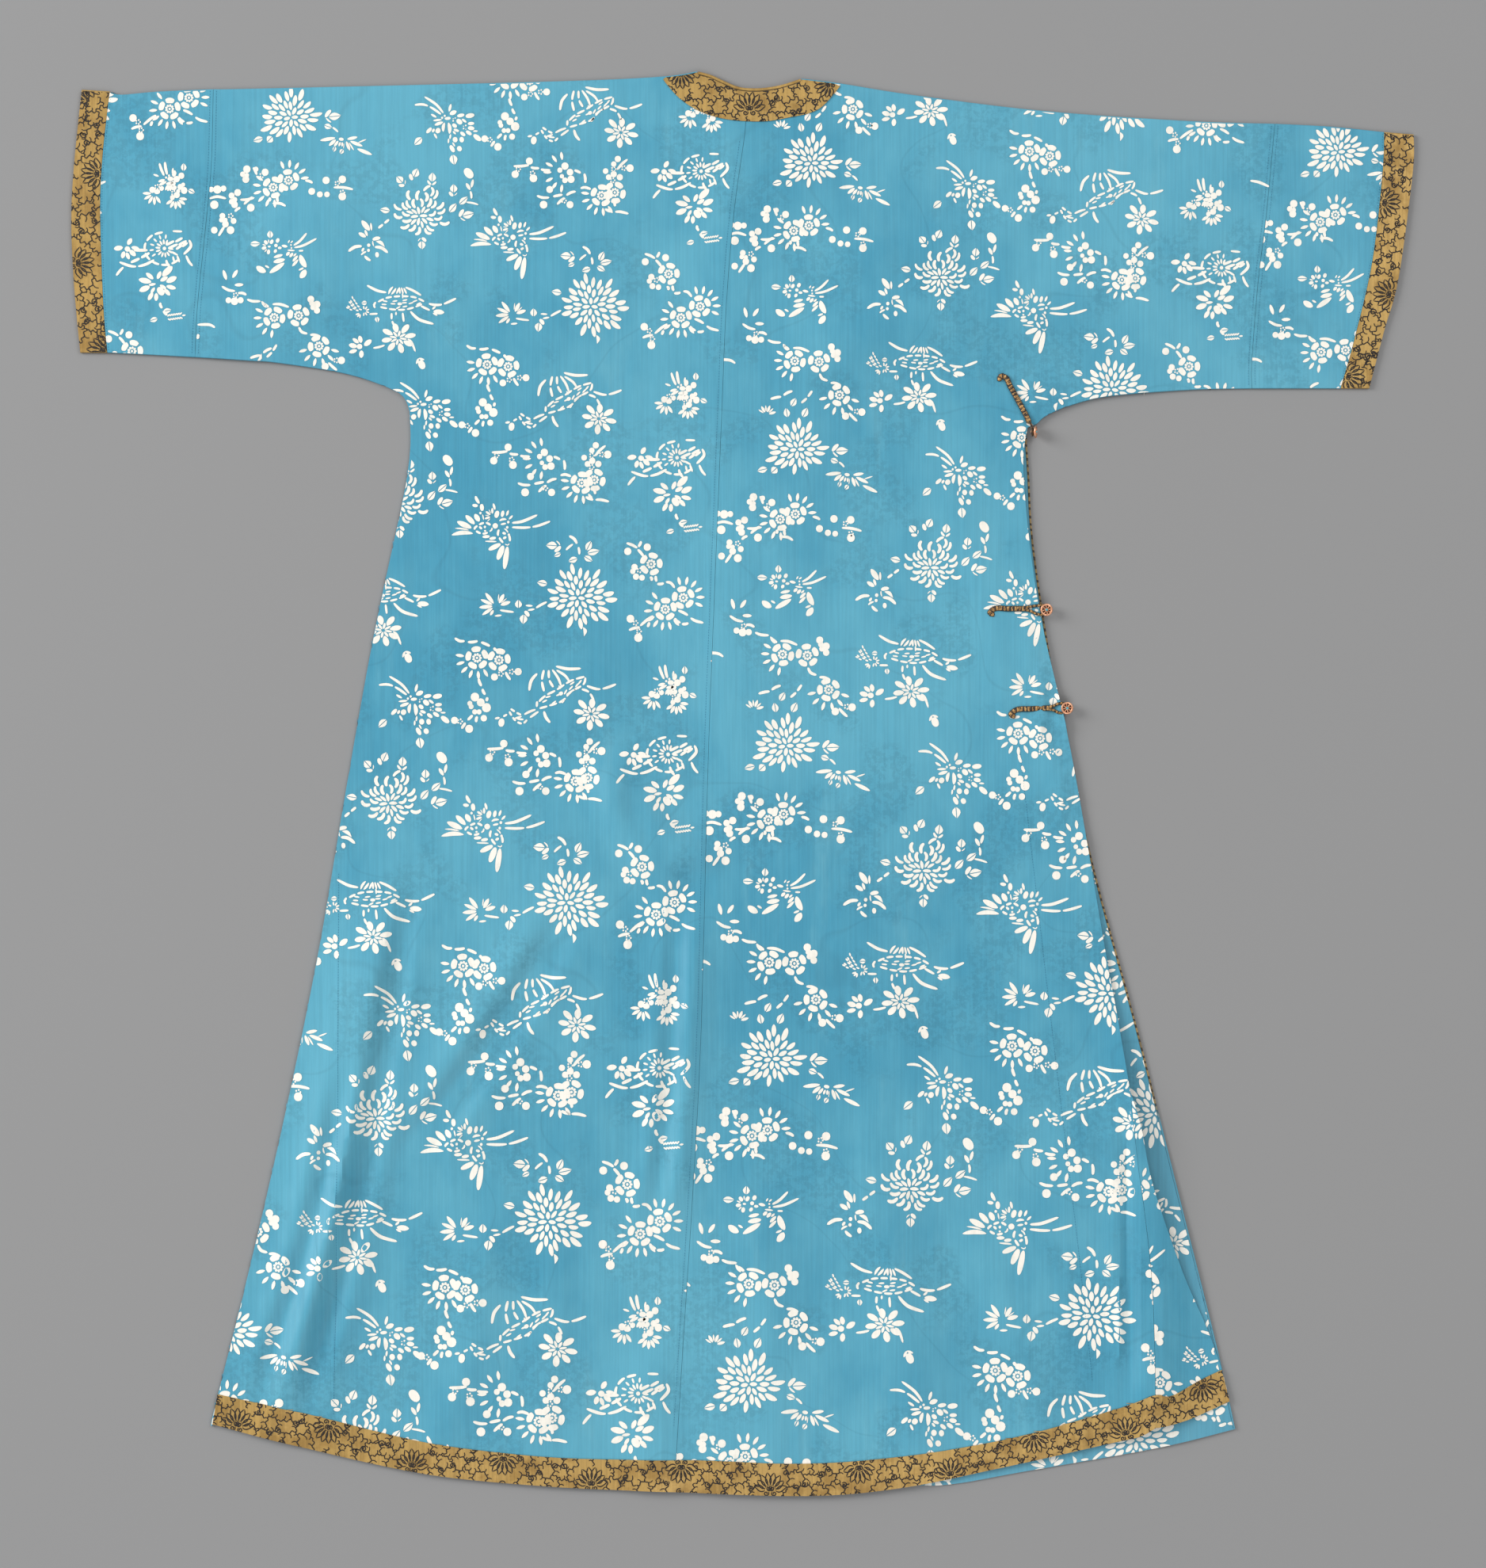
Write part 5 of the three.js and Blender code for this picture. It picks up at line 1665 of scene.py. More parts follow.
# Pointed leaves behind a blossom, (x, y, from angle, to angle, how many).
plum_leaves = [
    (-461, 586, 146, 276, 6), (-446, 593, 8, 112, 5), (-460, 458, 128, 262, 6),
    (-416, 430, 196, 344, 6),
    (-175, 601, 98, 262, 7), (-138, 578, 172, 302, 6), (-41, 469, -24, 104, 6), (-60, 458, 128, 214, 4),
    (-60, 458, 236, 310, 4), (-229, 693, 172, 300, 6),
]
# Bits of twig, three (x, y) points along each.
twigs = [
    [(-524, 575), (-516, 577), (-507, 575)], [(-494, 574), (-487, 574), (-479, 576)],
    [(-490, 569), (-486, 573), (-481, 577)],
    [(-499, 562), (-496, 565), (-493, 566)], [(-481, 606), (-479, 603), (-477, 598)],
    [(-430, 593), (-425, 592), (-422, 590)],
    [(-402, 586), (-392, 586), (-382, 584)], [(-456, 577), (-457, 575), (-456, 571)],
    [(-462, 570), (-454, 570), (-448, 567)],
    [(-465, 576), (-464, 574), (-465, 572)], [(-515, 538), (-512, 543), (-509, 548)],
    [(-512, 489), (-505, 485), (-498, 484)],
    [(-496, 482), (-491, 482), (-487, 480)], [(-487, 476), (-481, 474), (-473, 474)],
    [(-471, 472), (-468, 470), (-465, 468)],
    [(-462, 471), (-454, 471), (-445, 468)], [(-436, 449), (-433, 444), (-427, 442)],
    [(-425, 441), (-420, 441), (-414, 439)],
    [(-407, 414), (-403, 410), (-398, 406)], [(-484, 418), (-478, 420), (-473, 421)],
    [(-471, 423), (-467, 426), (-462, 428)],
    [(-536, 451), (-524, 451), (-518, 448)], [(-536, 437), (-535, 439), (-535, 442)],
    [(-225, 607), (-217, 607), (-209, 608)],
    [(-208, 606), (-204, 605), (-199, 605)], [(-198, 604), (-194, 603), (-188, 603)],
    [(-165, 603), (-162, 602), (-158, 600)],
    [(-155, 600), (-154, 595), (-154, 590)], [(-159, 585), (-154, 586), (-148, 584)],
    [(-202, 578), (-196, 576), (-189, 576)],
    [(-186, 577), (-181, 578), (-176, 579)], [(-173, 578), (-168, 581), (-163, 582)],
    [(-174, 576), (-178, 573), (-182, 569)],
    [(-123, 603), (-118, 609), (-112, 614)], [(-127, 572), (-125, 570), (-125, 567)],
    [(-135, 565), (-131, 563), (-127, 562)],
    [(-125, 562), (-119, 562), (-111, 560)], [(-96, 521), (-90, 519), (-85, 516)],
    [(-81, 523), (-82, 520), (-84, 517)],
    [(-85, 515), (-82, 512), (-79, 508)], [(-74, 489), (-72, 487), (-73, 485)],
    [(-68, 490), (-68, 487), (-67, 484)],
    [(-67, 482), (-63, 482), (-60, 483)], [(-58, 484), (-53, 483), (-49, 478)],
    [(-51, 450), (-49, 447), (-45, 445)],
    [(-44, 444), (-40, 444), (-37, 445)], [(-35, 450), (-30, 447), (-22, 445)],
    [(-47, 457), (-42, 455), (-37, 452)],
    [(-73, 452), (-79, 448), (-86, 442)], [(-98, 438), (-93, 440), (-87, 441)],
    [(-77, 446), (-78, 443), (-79, 441)],
    [(-17, 409), (-8, 408), (3, 404)], [(-44, 549), (-44, 546), (-42, 543)],
    [(-41, 541), (-40, 539), (-37, 536)],
    [(-249, 712), (-244, 709), (-239, 709)], [(-237, 708), (-232, 708), (-227, 709)],
    [(-225, 708), (-220, 706), (-216, 704)],
    [(-213, 703), (-212, 701), (-210, 700)], [(-204, 680), (-202, 676), (-199, 672)],
    [(-229, 674), (-228, 670), (-226, 666)],
    [(-226, 664), (-225, 661), (-223, 658)], [(-222, 656), (-222, 654), (-223, 652)],
    [(-236, 639), (-238, 637), (-241, 634)],
    [(-232, 638), (-233, 635), (-233, 632)], [(-243, 632), (-245, 629), (-247, 626)],
]

# The flowers, baskets and insects of one repeat, (what is cut, x, y, turn).
figures = [
    (long_chrysanthemum, -443, 655, 0), (winged_insect, -450, 526, 0), (leafy_butterfly, -289, 652, 0),
    (curled_chrysanthemum, -317, 558, 0), (straw_hat, -335, 472, 0), (lantern_basket, -148, 659, 0),
    (swallowtail, -218, 538, 0), (full_chrysanthemum, -148, 469, 0), (ribbon_ball, -40, 602, 0),
    (berry_butterfly, -59, 387, 0), (open_flower, -338, 438, 0), (small_flower, -374, 429, 0),
    (open_flower, -119, 640, -20), (small_flower, -78, 603, 150), (lotus_flower, -48, 567, 0),
]
single_leaves = [
    (petal, -507, 495, 108, 10.5, 3.4), (petal, -501, 497, 58, 9.5, 3.4), (petal, -499, 490, 2, 9, 3.2),
    (split_leaf, -41, 540, 12, 8, 5.4), (split_leaf, -47, 533, 196, 8, 5.4),
]


def one_repeat():
    """Everything that is cut in one stencil, in groups of (x, y, islands about that point)."""
    groups = [(x, y, placed(cut(), 0, 0, turn)) for cut, x, y, turn in figures]
    for x, y, turn in plums:
        groups.append((x, y, plum(0, 0, turn)))
    for x, y, start, end, count in plum_leaves:
        groups.append((x, y, fan(0, 0, start, end, count, 12.4, 8.4, 3.0, 1.5)))
    for x, y, radius in berries:
        groups.append((x, y, blob(0, 0, radius, 1.05)))
    for x, y in stamen_tufts:
        groups.append((x, y, stamens(0, 0)))
    for twig in twigs:
        x, y = twig[1]
        groups.append((x, y, stroke([(a - x, b - y) for a, b in twig], 2.5)))
    for cut, x, y, turn, length, width in single_leaves:
        groups.append((x, y, cut(0, 0, turn, length, width)))
    groups.append((-37, 534, placed(grain_ear(), 0, 0, 8)))
    groups.append((-318, 418, bud(-64)))
    groups.append((-325, 430, stroke([(-4, 7), (0, 4), (4, -6)], 2.0)))
    groups.append((-357, 429, stroke([(-6, -1), (0, 0), (6, 2)], 2.0)))
    return groups


repeat = one_repeat()
# How the repeats fall down the cloth: their height on the robe, and how far they have drifted
# sideways by then, in three columns of each loom width.
repeat_heights = [886, 605.7, 324.1, 32.4, -275.7, -595.5, -921]
left_columns = (-324, -184, -36)
left_drift = [
    (25, 20, 24), (0, 0, 0), (-25, -20, -24), (-33, -23, -33), (-44, -44, -41), (-62, -62, -62),
    (-80, -80, -80)
]
right_columns = (65, 198, 354)
repeat_length = 287
repeat_middle = -443
right_drift = [
    (14, 11, 5), (0, 0, 0), (-14, -11, -5), (-25, -17, -6), (-39, -28, -8), (-62, -43, -27),
    (-80, -60, -40)
]


def laid_out(shift, skew, columns, drift, numbers, tilt=0.0):
    """The islands of some repeats, moved by shift and skewed along the weft."""
    steps = np.arange(len(repeat_heights)) - 1.0
    drift = np.array(drift, float)
    islands = []
    for x, y, group in repeat:
        x0 = x + shift[0]
        y0 = y + shift[1] - skew * (x - repeat_middle)
        phase = np.interp(-y0, [-h for h in repeat_heights], steps)
        for number in numbers:
            step = phase + number
            if not -1 < step < steps[-1]:
                continue
            along = [np.interp(step, steps, d) - np.interp(phase, steps, d) for d in drift.T]
            x1 = x0 + np.interp(x0, columns, along)
            y1 = np.interp(step, steps, repeat_heights)
            above, below = np.interp([step - 0.5, step + 0.5], steps, repeat_heights)
            size = (above - below) / repeat_length
            islands += placed(group, x1, y1, tilt, size)
    return islands


def on_cloth(height, x, y):
    """The height of a cloth's own triangles, which a print lies on."""
    i, j = np.floor(x / grid_step), np.floor(y / grid_step)
    u, v = x / grid_step - i, y / grid_step - j
    a = height(i * grid_step, j * grid_step)
    b = height((i + 1) * grid_step, j * grid_step)
    c = height((i + 1) * grid_step, (j + 1) * grid_step)
    d = height(i * grid_step, (j + 1) * grid_step)
    return np.where(v <= u, a + u * (b - a) + v * (c - b), a + u * (c - d) + v * (d - a))


print_lift = 0.2
# Neighbouring islands differ a little in height, so that two that touch don't lie in one plane.
layer_step = 0.012


def printed(name, islands, outline, height, covers=(), lift=print_lift):
    """One piece of print on one piece of cloth, cut off at its edges and left out under a band."""
    low, high = outline.min(0), outline.max(0)
    near = [i for i in islands if (i.max((0, 1)) > low).all() and (i.min((0, 1)) < high).all()]
    points = np.concatenate([i.reshape(-1, 2) for i in near])
    ends = np.cumsum([i.shape[0] * 2 for i in near])[:-1]
    inside = np.split(within(outline, points), ends)
    covered = [np.split(within(cover, points), ends) for cover in covers]
    mesh = bmesh.new()
    for number, isle in enumerate(near):
        if not inside[number].any() or any(cover[number].all() for cover in covered):
            continue
        ribs = [[tuple(left), tuple(right)] for left, right in isle]
        faces = []
        for k in range(len(ribs) - 1):
            if k:
                faces.append([ribs[k][0], ribs[k][1], ribs[k + 1][1]])
            if k < len(ribs) - 2:
                faces.append([ribs[k][0], ribs[k + 1][1], ribs[k + 1][0]])
        if not inside[number].all():
            faces = [clipped(outline, face) for face in faces]
        step = number % 7 * layer_step
        known = {p: mesh.verts.new((*p, step)) for p in {p: 0 for face in faces for p in face}}
        for face in faces:
            corners = list(dict.fromkeys(known[p] for p in face))
            if len(corners) > 2:
                mesh.faces.new(corners)
    mesh.normal_update()
    bmesh.ops.reverse_faces(mesh, faces=[f for f in mesh.faces if f.normal.z < 0])
    vertices = list(mesh.verts)
    places = np.array([v.co[:2] for v in vertices])
    for vertex, z in zip(vertices, on_cloth(height, places[:, 0], places[:, 1])):
        vertex.co.z += z + lift
    return Sheet(mesh).finish(name, wall=0)


def paste(name, cream, worn):
    """Rice paste print: cream, nearly even, with a little of the silk's weave in it."""
    material, tree, paint, place = new_material(name)
    cloth_weave = weave(tree, place)
    wear = ranged(tree, noise_of(tree, place, 60, 4, 0.6), 0.50, 0.74)
    colour = blended(tree, wear, cream, worn)
    shade = ranged(tree, cloth_weave.outputs["Streak"], 0.3, 0.7, 0.96, 1.03)
    shaded(tree, paint, colour, shade)
    tree.links.new(ranged(tree, wear, 0, 1, 0.62, 0.72), paint.inputs["Roughness"])
    paint.inputs["Specular IOR Level"].default_value = 0.3
    bumped(tree, paint, cloth_weave.outputs["Height"], 0.2)
    return material


cream_paste = paste("cream_paste", tint(230, 226, 216), tint(218, 215, 205))
inside_paste = paste("inside_paste", tint(228, 225, 216), tint(212, 214, 206))
left_islands = laid_out((0, 0), 0, left_columns, left_drift, range(-1, 5))
right_islands = laid_out((512, -45), 0.124, right_columns, right_drift, range(-1, 5), -3.5)
print_left = printed(
    "print_left", left_islands, left_outline, back_top, [hem_band_outline, facing_outline]
)
print_right = printed(
    "print_right", right_islands, right_outline, back_top, [hem_band_outline, facing_outline]
)
sleeve_left_islands = laid_out((-528, -76), 0, left_columns, left_drift, [-1, 0, 1])
sleeve_right_islands = laid_out((1030, -34), 0, right_columns, right_drift, [-1, 0, 1])
print_sleeve_left = printed("print_sleeve_left", sleeve_left_islands, sleeve_left_outline, sleeve_top)
print_sleeve_right = printed(
    "print_sleeve_right", sleeve_right_islands, sleeve_right_outline, sleeve_top
)
gore_islands = laid_out((848, -96), 0.124, right_columns, right_drift, range(2, 5), 10)
print_gore = printed("print_gore", gore_islands, gore_outline, back_top, [hem_band_outline], lift=0.3)
overlap_islands = laid_out((560, -190), 0, right_columns, right_drift, range(-1, 5), 12)
print_overlap = printed("print_overlap", overlap_islands, overlap_outline, overlap_top)
for printing, finish in [
    (print_left, cream_paste), (print_right, cream_paste), (print_sleeve_left, cream_paste),
    (print_sleeve_right, cream_paste), (print_gore, cream_paste), (print_overlap, inside_paste),
]:
    printing.data.materials.append(finish)
    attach(printing, "root")


# ------------------------------------------------------------------ brocade figures
# The black outlines woven in the gold bands: lobed leaves that share their wavy outlines, with
# veins and spirals, between lotus flowers that face up and down by turns. They are drawn on
# straight cloth, laid along each band and cut off at its edges.
ink_width = 1.15
leaf_pitch = 14.5
lotus_pitch = 88.0
middle_points = 60


def ink(points, width=ink_width, steps=5):
    """A dark line through points, smooth, as thick at its ends as in its middle."""
    return [island(smooth_line(points, steps * (len(points) - 1)), width, 0.25)]


def spiral(x, y, turn, size, hand=1):
    reach = np.arange(1, 12) ** 0.85 * 0.13
    way = hand * 0.86 * np.arange(1, 12)
    coil = np.stack([reach * np.cos(way), reach * np.sin(way)], 1)
    return placed(ink(coil, ink_width / size, 3), x, y, turn, size)


def outlined_petal(x, y, turn, length, width, bend=0.0):
    t = np.linspace(0, 1, 9)
    swell = width / 2 * np.sin(np.pi * t**0.85)
    middle = bend * np.sin(np.pi * t / 2) ** 2
    sides = [
        island(np.stack([length * t, middle + side * swell], 1), ink_width, 0.25) for side in (1, -1)
    ]
    return placed(sides, x, y, turn)


def brocade_lotus(x, y, turn, size):
    """A half lotus: slender petals that open from a small heart, with a curl to each side."""
    made = []
    for away in range(-84, 85, 24):
        a = math.radians(turn + away)
        length = size * (13.5 if abs(away) < 50 else 11.5)
        foot = polar(x, y, 5 * size, a)
        made += outlined_petal(*foot, turn + away, length, size * 5.6, size * away * -0.03)
    for away in (-42, 0, 42):
        made += outlined_petal(x, y, turn + away, size * 5.0, size * 3.0)
    for away, hand in ((125, 1), (-125, -1)):
        a = math.radians(turn + away)
        made += spiral(*polar(x, y, 4.6 * size, a), turn + away, 2.6 * size, hand)
    return made


def leafy_ground(low_x, high_x, low_y, high_y, lotuses):
    """Lobed leaves that fill a stretch of cloth between the lotuses, each (x, y, turn, size)."""
    side = leaf_pitch / math.sqrt(3)
    corners, edges = {}, {}
    for row in range(int(low_y / side / 1.5) - 1, int(high_y / side / 1.5) + 2):
        for column in range(int(low_x / leaf_pitch) - 1, int(high_x / leaf_pitch) + 2):
            x, y = (column + row % 2 / 2) * leaf_pitch, row * side * 1.5
            ring_keys = []
            for k in range(6):
                a = math.radians(30 + 60 * k)
                key = (round(x + side * math.cos(a)), round(y + side * math.sin(a)))
                near = [c for c in corners if abs(c[0] - key[0]) < 3 and abs(c[1] - key[1]) < 3]
                key = near[0] if near else key
                if not near:
                    corners[key] = np.array(key) + (
                        random.uniform(-2.4, 2.4), random.uniform(-2.4, 2.4)
                    )
                ring_keys.append(key)
            for first, second in zip(ring_keys, ring_keys[1:] + ring_keys[:1]):
                edges[tuple(sorted((first, second)))] = True

    def free(x, y, reach):
        for lotus_x, lotus_y, turn, size in lotuses:
            middle_x, middle_y = polar(lotus_x, lotus_y, 8 * size, math.radians(turn))
            if math.hypot(x - middle_x, y - middle_y) < reach * size:
                return False
        return True

    made = []
    for first, second in edges:
        start, end = corners[first], corners[second]
        if not free(*((start + end) / 2), 15):
            continue
        run = end - start
        across = np.array([-run[1], run[0]]) * random.choice((-1, 1))
        wave = [(0, 0), (0.20, 0.20), (0.5, 0), (0.80, 0.20), (1, 0)]
        made += ink([start + run * t + across * s for t, s in wave])
        vein = start + run * 0.5
        tip = -across * random.uniform(0.34, 0.50) + run * random.uniform(-0.2, 0.2)
        made += ink([vein, vein + tip * 0.5 + run * 0.08, vein + tip], 0.95)
    for number, corner in enumerate(corners.values()):
        if number % 3 == 0 and free(*corner, 17):
            turn, size = random.uniform(0, 360), random.uniform(2.9, 3.5)
            made += spiral(*corner, turn, size, random.choice((-1, 1)))
    for lotus in lotuses:
        made += brocade_lotus(*lotus)
    return made


def along_band(line, start, flip=1):
    """The drawing bent along a band's middle line, its lotuses turned over by turns."""
    line = np.array(line, float)
    reach = reach_along(line)
    count = int(reach[-1] / lotus_pitch) + 2
    lotuses = [
        (
            start + n * lotus_pitch, (-11, 11)[n % 2] * flip, (90, -90)[n % 2] * flip, 1.0
        ) for n in range(-1, count)
    ]
    made = []
    for isle in leafy_ground(-10, reach[-1] + 10, -20, 20, lotuses):
        d, up = isle[..., 0], isle[..., 1]
        ahead = [np.interp(np.clip(d + 6, 0, reach[-1]), reach, line[:, axis]) for axis in (0, 1)]
        behind = [np.interp(np.clip(d - 6, 0, reach[-1]), reach, line[:, axis]) for axis in (0, 1)]
        way = np.arctan2(ahead[1] - behind[1], ahead[0] - behind[0])
        past = d - np.clip(d, 0, reach[-1])
        x = np.interp(d, reach, line[:, 0]) + past * np.cos(way) - up * np.sin(way)
        y = np.interp(d, reach, line[:, 1]) + past * np.sin(way) + up * np.cos(way)
        made.append(np.stack([x, y], -1))
    return made


def middle_of(line, other):
    """The line halfway between the two long edges of a band."""
    def even(points):
        points = np.array(points, float)
        reach = reach_along(points)
        return points_on(points, reach, np.linspace(0, reach[-1], middle_points))

    return (even(line) + even(other)) / 2


facing_lotuses = [(7.4, 662, 90, 1.0), (-60, 699, -72, 0.9), (86, 688, 205, 0.85)]
woven_ink, tree, paint, place = new_material("woven_ink")
thin = ranged(tree, noise_of(tree, place, 420, 3, 0.6), 0.50, 0.74)
tree.links.new(blended(tree, thin, tint(22, 14, 8), tint(46, 33, 18)), paint.inputs["Base Color"])
paint.inputs["Roughness"].default_value = 0.7
Drawn = namedtuple("Drawn", "name islands outline height")
for drawn in [
    Drawn(
        "hem_figures", along_band(middle_of(band_top_line, hem_line), 25), hem_band_outline, band_face
    ),
    Drawn(
        "facing_figures", leafy_ground(-85, 105, 645, 705, facing_lotuses), facing_outline, band_face
    ),
    Drawn(
        "left_cuff_figures",
        along_band(middle_of(cuff_edge_left, cuff_seam_left), 82, -1), cuff_left_outline, sleeve_top,
    ),
    Drawn(
        "right_cuff_figures",
        along_band(middle_of(cuff_edge_right, cuff_seam_right), 70), cuff_right_outline, sleeve_top,
    ),
]:
    figures_piece = printed(drawn.name, drawn.islands, drawn.outline, drawn.height, (), 0.16)
    figures_piece.data.materials.append(woven_ink)
    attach(figures_piece, "root")


# ------------------------------------------------------------------ fastening cords
# Tubes of rolled brocade, oversewn so that they ladder across. Each tail is sewn to the back with
# its end curled under, then parts into a loop that holds the button's shank. They stay buttoned.
tail_width, tail_height, strand = 5.4, 2.6, 2.3
shank_radius = 1.3
hoop = shank_radius + 2 * gap + strand / 2
around = 14


def swept(mesh, path, width, height, ridge, ridge_length, bend_up=(0, 0, 1)):
    """Adds a cord of oval section along a smooth path, with ridges across it and round ends."""
    path = np.array(path, float)
    run = np.gradient(path, axis=0)
    run /= np.linalg.norm(run, axis=1)[:, None]
    reach = np.concatenate([[0], np.cumsum(np.linalg.norm(np.diff(path, axis=0), axis=1))])
    side = np.cross(np.array(bend_up, float), run)
    side /= np.maximum(np.linalg.norm(side, axis=1), 1e-6)[:, None]
    up = np.cross(run, side)
    along = mesh.loops.layers.uv.verify()
    end = width * 0.45
    near_end = np.clip(1 - np.minimum(reach, reach[-1] - reach) / end, 0, 1)
    close = np.sqrt(np.clip(1 - near_end**2, 0.02, 1))
    rings = []
    for k in range(len(path)):
        ring = []
        for j in range(around):
            a = 2 * math.pi * j / around
            bump = 1 + ridge * math.sin(2 * math.pi * reach[k] / ridge_length + 1.6 * math.cos(a))
            offset = side[k] * math.cos(a) * width / 2 + up[k] * math.sin(a) * height / 2
            ring.append(mesh.verts.new(path[k] + offset * bump * close[k]))
        rings.append(ring)
    for k in range(len(rings) - 1):
        for j in range(around):
            n = (j + 1) % around
            face = mesh.faces.new((rings[k][j], rings[k][n], rings[k + 1][n], rings[k + 1][j]))
            corners = [(k, j), (k, j + 1), (k + 1, j + 1), (k + 1, j)]
            for loop, (row, column) in zip(face.loops, corners):
                loop[along].uv = (reach[row], column / around)
    for ring in (rings[0][::-1], rings[-1]):
        mesh.faces.new(ring)


def smooth_path(rows, step=0.35):
    """A smooth line through (x, y, z) points, with points step apart."""
    rows = np.array(rows, float)
    chord = np.concatenate([[0], np.cumsum(np.linalg.norm(np.diff(rows, axis=0), axis=1))])
    slope = np.gradient(rows, chord, axis=0)
    t = np.linspace(0, chord[-1], max(8, int(chord[-1] / step)))
    k = np.clip(np.searchsorted(chord, t, side="right") - 1, 0, len(rows) - 2)
    h = (chord[k + 1] - chord[k])[:, None]
    u = ((t - chord[k])[:, None]) / h
    return (
        (2 * u**3 - 3 * u**2 + 1) * rows[k] + (u**3 - 2 * u**2 + u) * h * slope[k]
        + (3 * u**2 - 2 * u**3) * rows[k + 1] + (u**3 - u**2) * h * slope[k + 1]
    )


rolled, tree, paint, place = new_material("rolled_brocade")
uv = tree.nodes.new("ShaderNodeUVMap").outputs["UV"]
parts = tree.nodes.new("ShaderNodeSeparateXYZ")
tree.links.new(uv, parts.inputs[0])
reach, round_way = parts.outputs["X"], parts.outputs["Y"]
waver = noise_of(tree, mapped(tree, uv, (0.8, 3.0, 1)), 1.0, 3, 0.6)
beat = summed(tree, (reach, 1.7), (waver, 15.0))
bars = maths(tree, "SINE", beat)
sides = maths(tree, "ABSOLUTE", maths(tree, "COSINE", maths(tree, "MULTIPLY", round_way, 2 * math.pi)))
dark = maths(tree, "MAXIMUM", ranged(tree, bars, -0.05, 0.25), ranged(tree, sides, 0.66, 0.86, 0, 0.9))
cord_weave = weave(tree, place, 900.0)
rubbed = ranged(tree, noise_of(tree, place, 300, 3, 0.6), 0.4, 0.62)
gold_thread = blended(tree, rubbed, tint(188, 146, 88), tint(134, 98, 54))
colour = blended(tree, dark, gold_thread, tint(34, 24, 18))
tree.links.new(colour, paint.inputs["Base Color"])
tree.links.new(ranged(tree, dark, 0, 1, 0.40, 0.68), paint.inputs["Roughness"])
tree.links.new(ranged(tree, dark, 0, 1, 0.30, 0.0), paint.inputs["Metallic"])
rough = maths(tree, "SUBTRACT", cord_weave.outputs["Height"], maths(tree, "MULTIPLY", dark, 0.6))
bumped(tree, paint, rough, 0.4)


def lowest_mm(node):
    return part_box(node)[0][2] / mm


def fastening_cord(name, node, parts):
    """Joins the tail and the loop of one fastening as one piece."""
    sheet = Sheet()
    for part in parts:
        swept(sheet.mesh, *part)
    bmesh.ops.recalc_face_normals(sheet.mesh, faces=sheet.mesh.faces)
    piece = sheet.finish(name, wall=0)
    piece.data.materials.append(rolled)
    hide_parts(node)
    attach(piece, "root")


# Where each flat fastening lies: three points of its tail, then the button's middle.
Fastening = namedtuple("Fastening", "name x1 y1 x2 y2 x3 y3 button_x button_y curl")
for f in [
    Fastening("middle", 245, 169.6, 263, 171.5, 280.5, 171.6, 299.4, 170.4, -1),
    Fastening("low", 265.6, 69.6, 286, 73.2, 303.5, 74, 319.6, 73.8, -1),
]:
    z = lowest_mm("frog_" + f.name) + tail_height / 2
    x, y = f.x1, f.y1
    curl = [(x + 3.4, y - 2.6, z - 0.4), (x + 1.2, y - 3.4, z), (x - 0.8, y - 1.8, z + 0.1)]
    tail = smooth_path([*curl, (x + 1.2, y + 0.5, z + 0.1), (f.x2, f.y2, z), (f.x3 + 1, f.y3, z)])
    x, y = f.button_x, f.button_y
    ring_points = [
        (f.x3 - 2, f.y3 + 1.1, z), (f.x3 + 3, f.y3 + 2.0, z), (x - 9, y + 4.2, z), (x - 4, y + 4.6, z),
        (x, y + hoop + 0.4, z), (x + hoop, y, z), (x, y - hoop - 0.4, z), (x - 4, y - 4.6, z),
        (x - 9, y - 4.2, z), (f.x3 + 3, f.y3 - 2.2, z), (f.x3 - 2, f.y3 - 1.1, z),
    ]
    fastening_cord(
        f.name + "_tail_and_loop",
        "frog_" + f.name,
        [
            (tail, tail_width, tail_height, 0.09, 1.7),
            (smooth_path(ring_points, 0.3), strand + 0.5, strand, 0.08, 1.3)
        ],
    )

top_x, top_y, top_tilt = 288.3, 345.3, math.radians(78)
top_z = 6.9
tail_z = float(back_top(np.array([264.0]), np.array([390.0]))[0]) + tail_height / 2
tail = smooth_path([
    (254.6, 395.2, tail_z - 0.3), (253.6, 397.6, tail_z), (255.4, 400.2, tail_z + 0.2),
    (258.6, 399.2, tail_z + 0.2),
    (264, 390, tail_z), (275, 370, tail_z), (281.5, 357, tail_z + 0.6), (282.8, 353.5, tail_z + 0.4),
])
shank_way = np.array([math.sin(top_tilt), 0, math.cos(top_tilt)])
ring_up = np.array([-math.cos(top_tilt), 0, math.sin(top_tilt)])
ring_middle = np.array([top_x, top_y, top_z]) - 2.6 * shank_way
turns = np.radians(np.linspace(60, 400, 14))
ring_points = [
    ring_middle + ring_up * hoop * math.sin(a) + np.array([0, hoop * math.cos(a), 0]) for a in turns
]
wrap = smooth_path([(281.6, 357.4, tail_z + 0.4), (284.6, 351.6, top_z), *ring_points], 0.3)
fastening_cord(
    "top_tail_and_loop",
    "frog_top",
    [(tail, tail_width, tail_height, 0.09, 1.7), (wrap, strand + 0.3, strand, 0.08, 1.3, (1, 0, 0.2))],
)


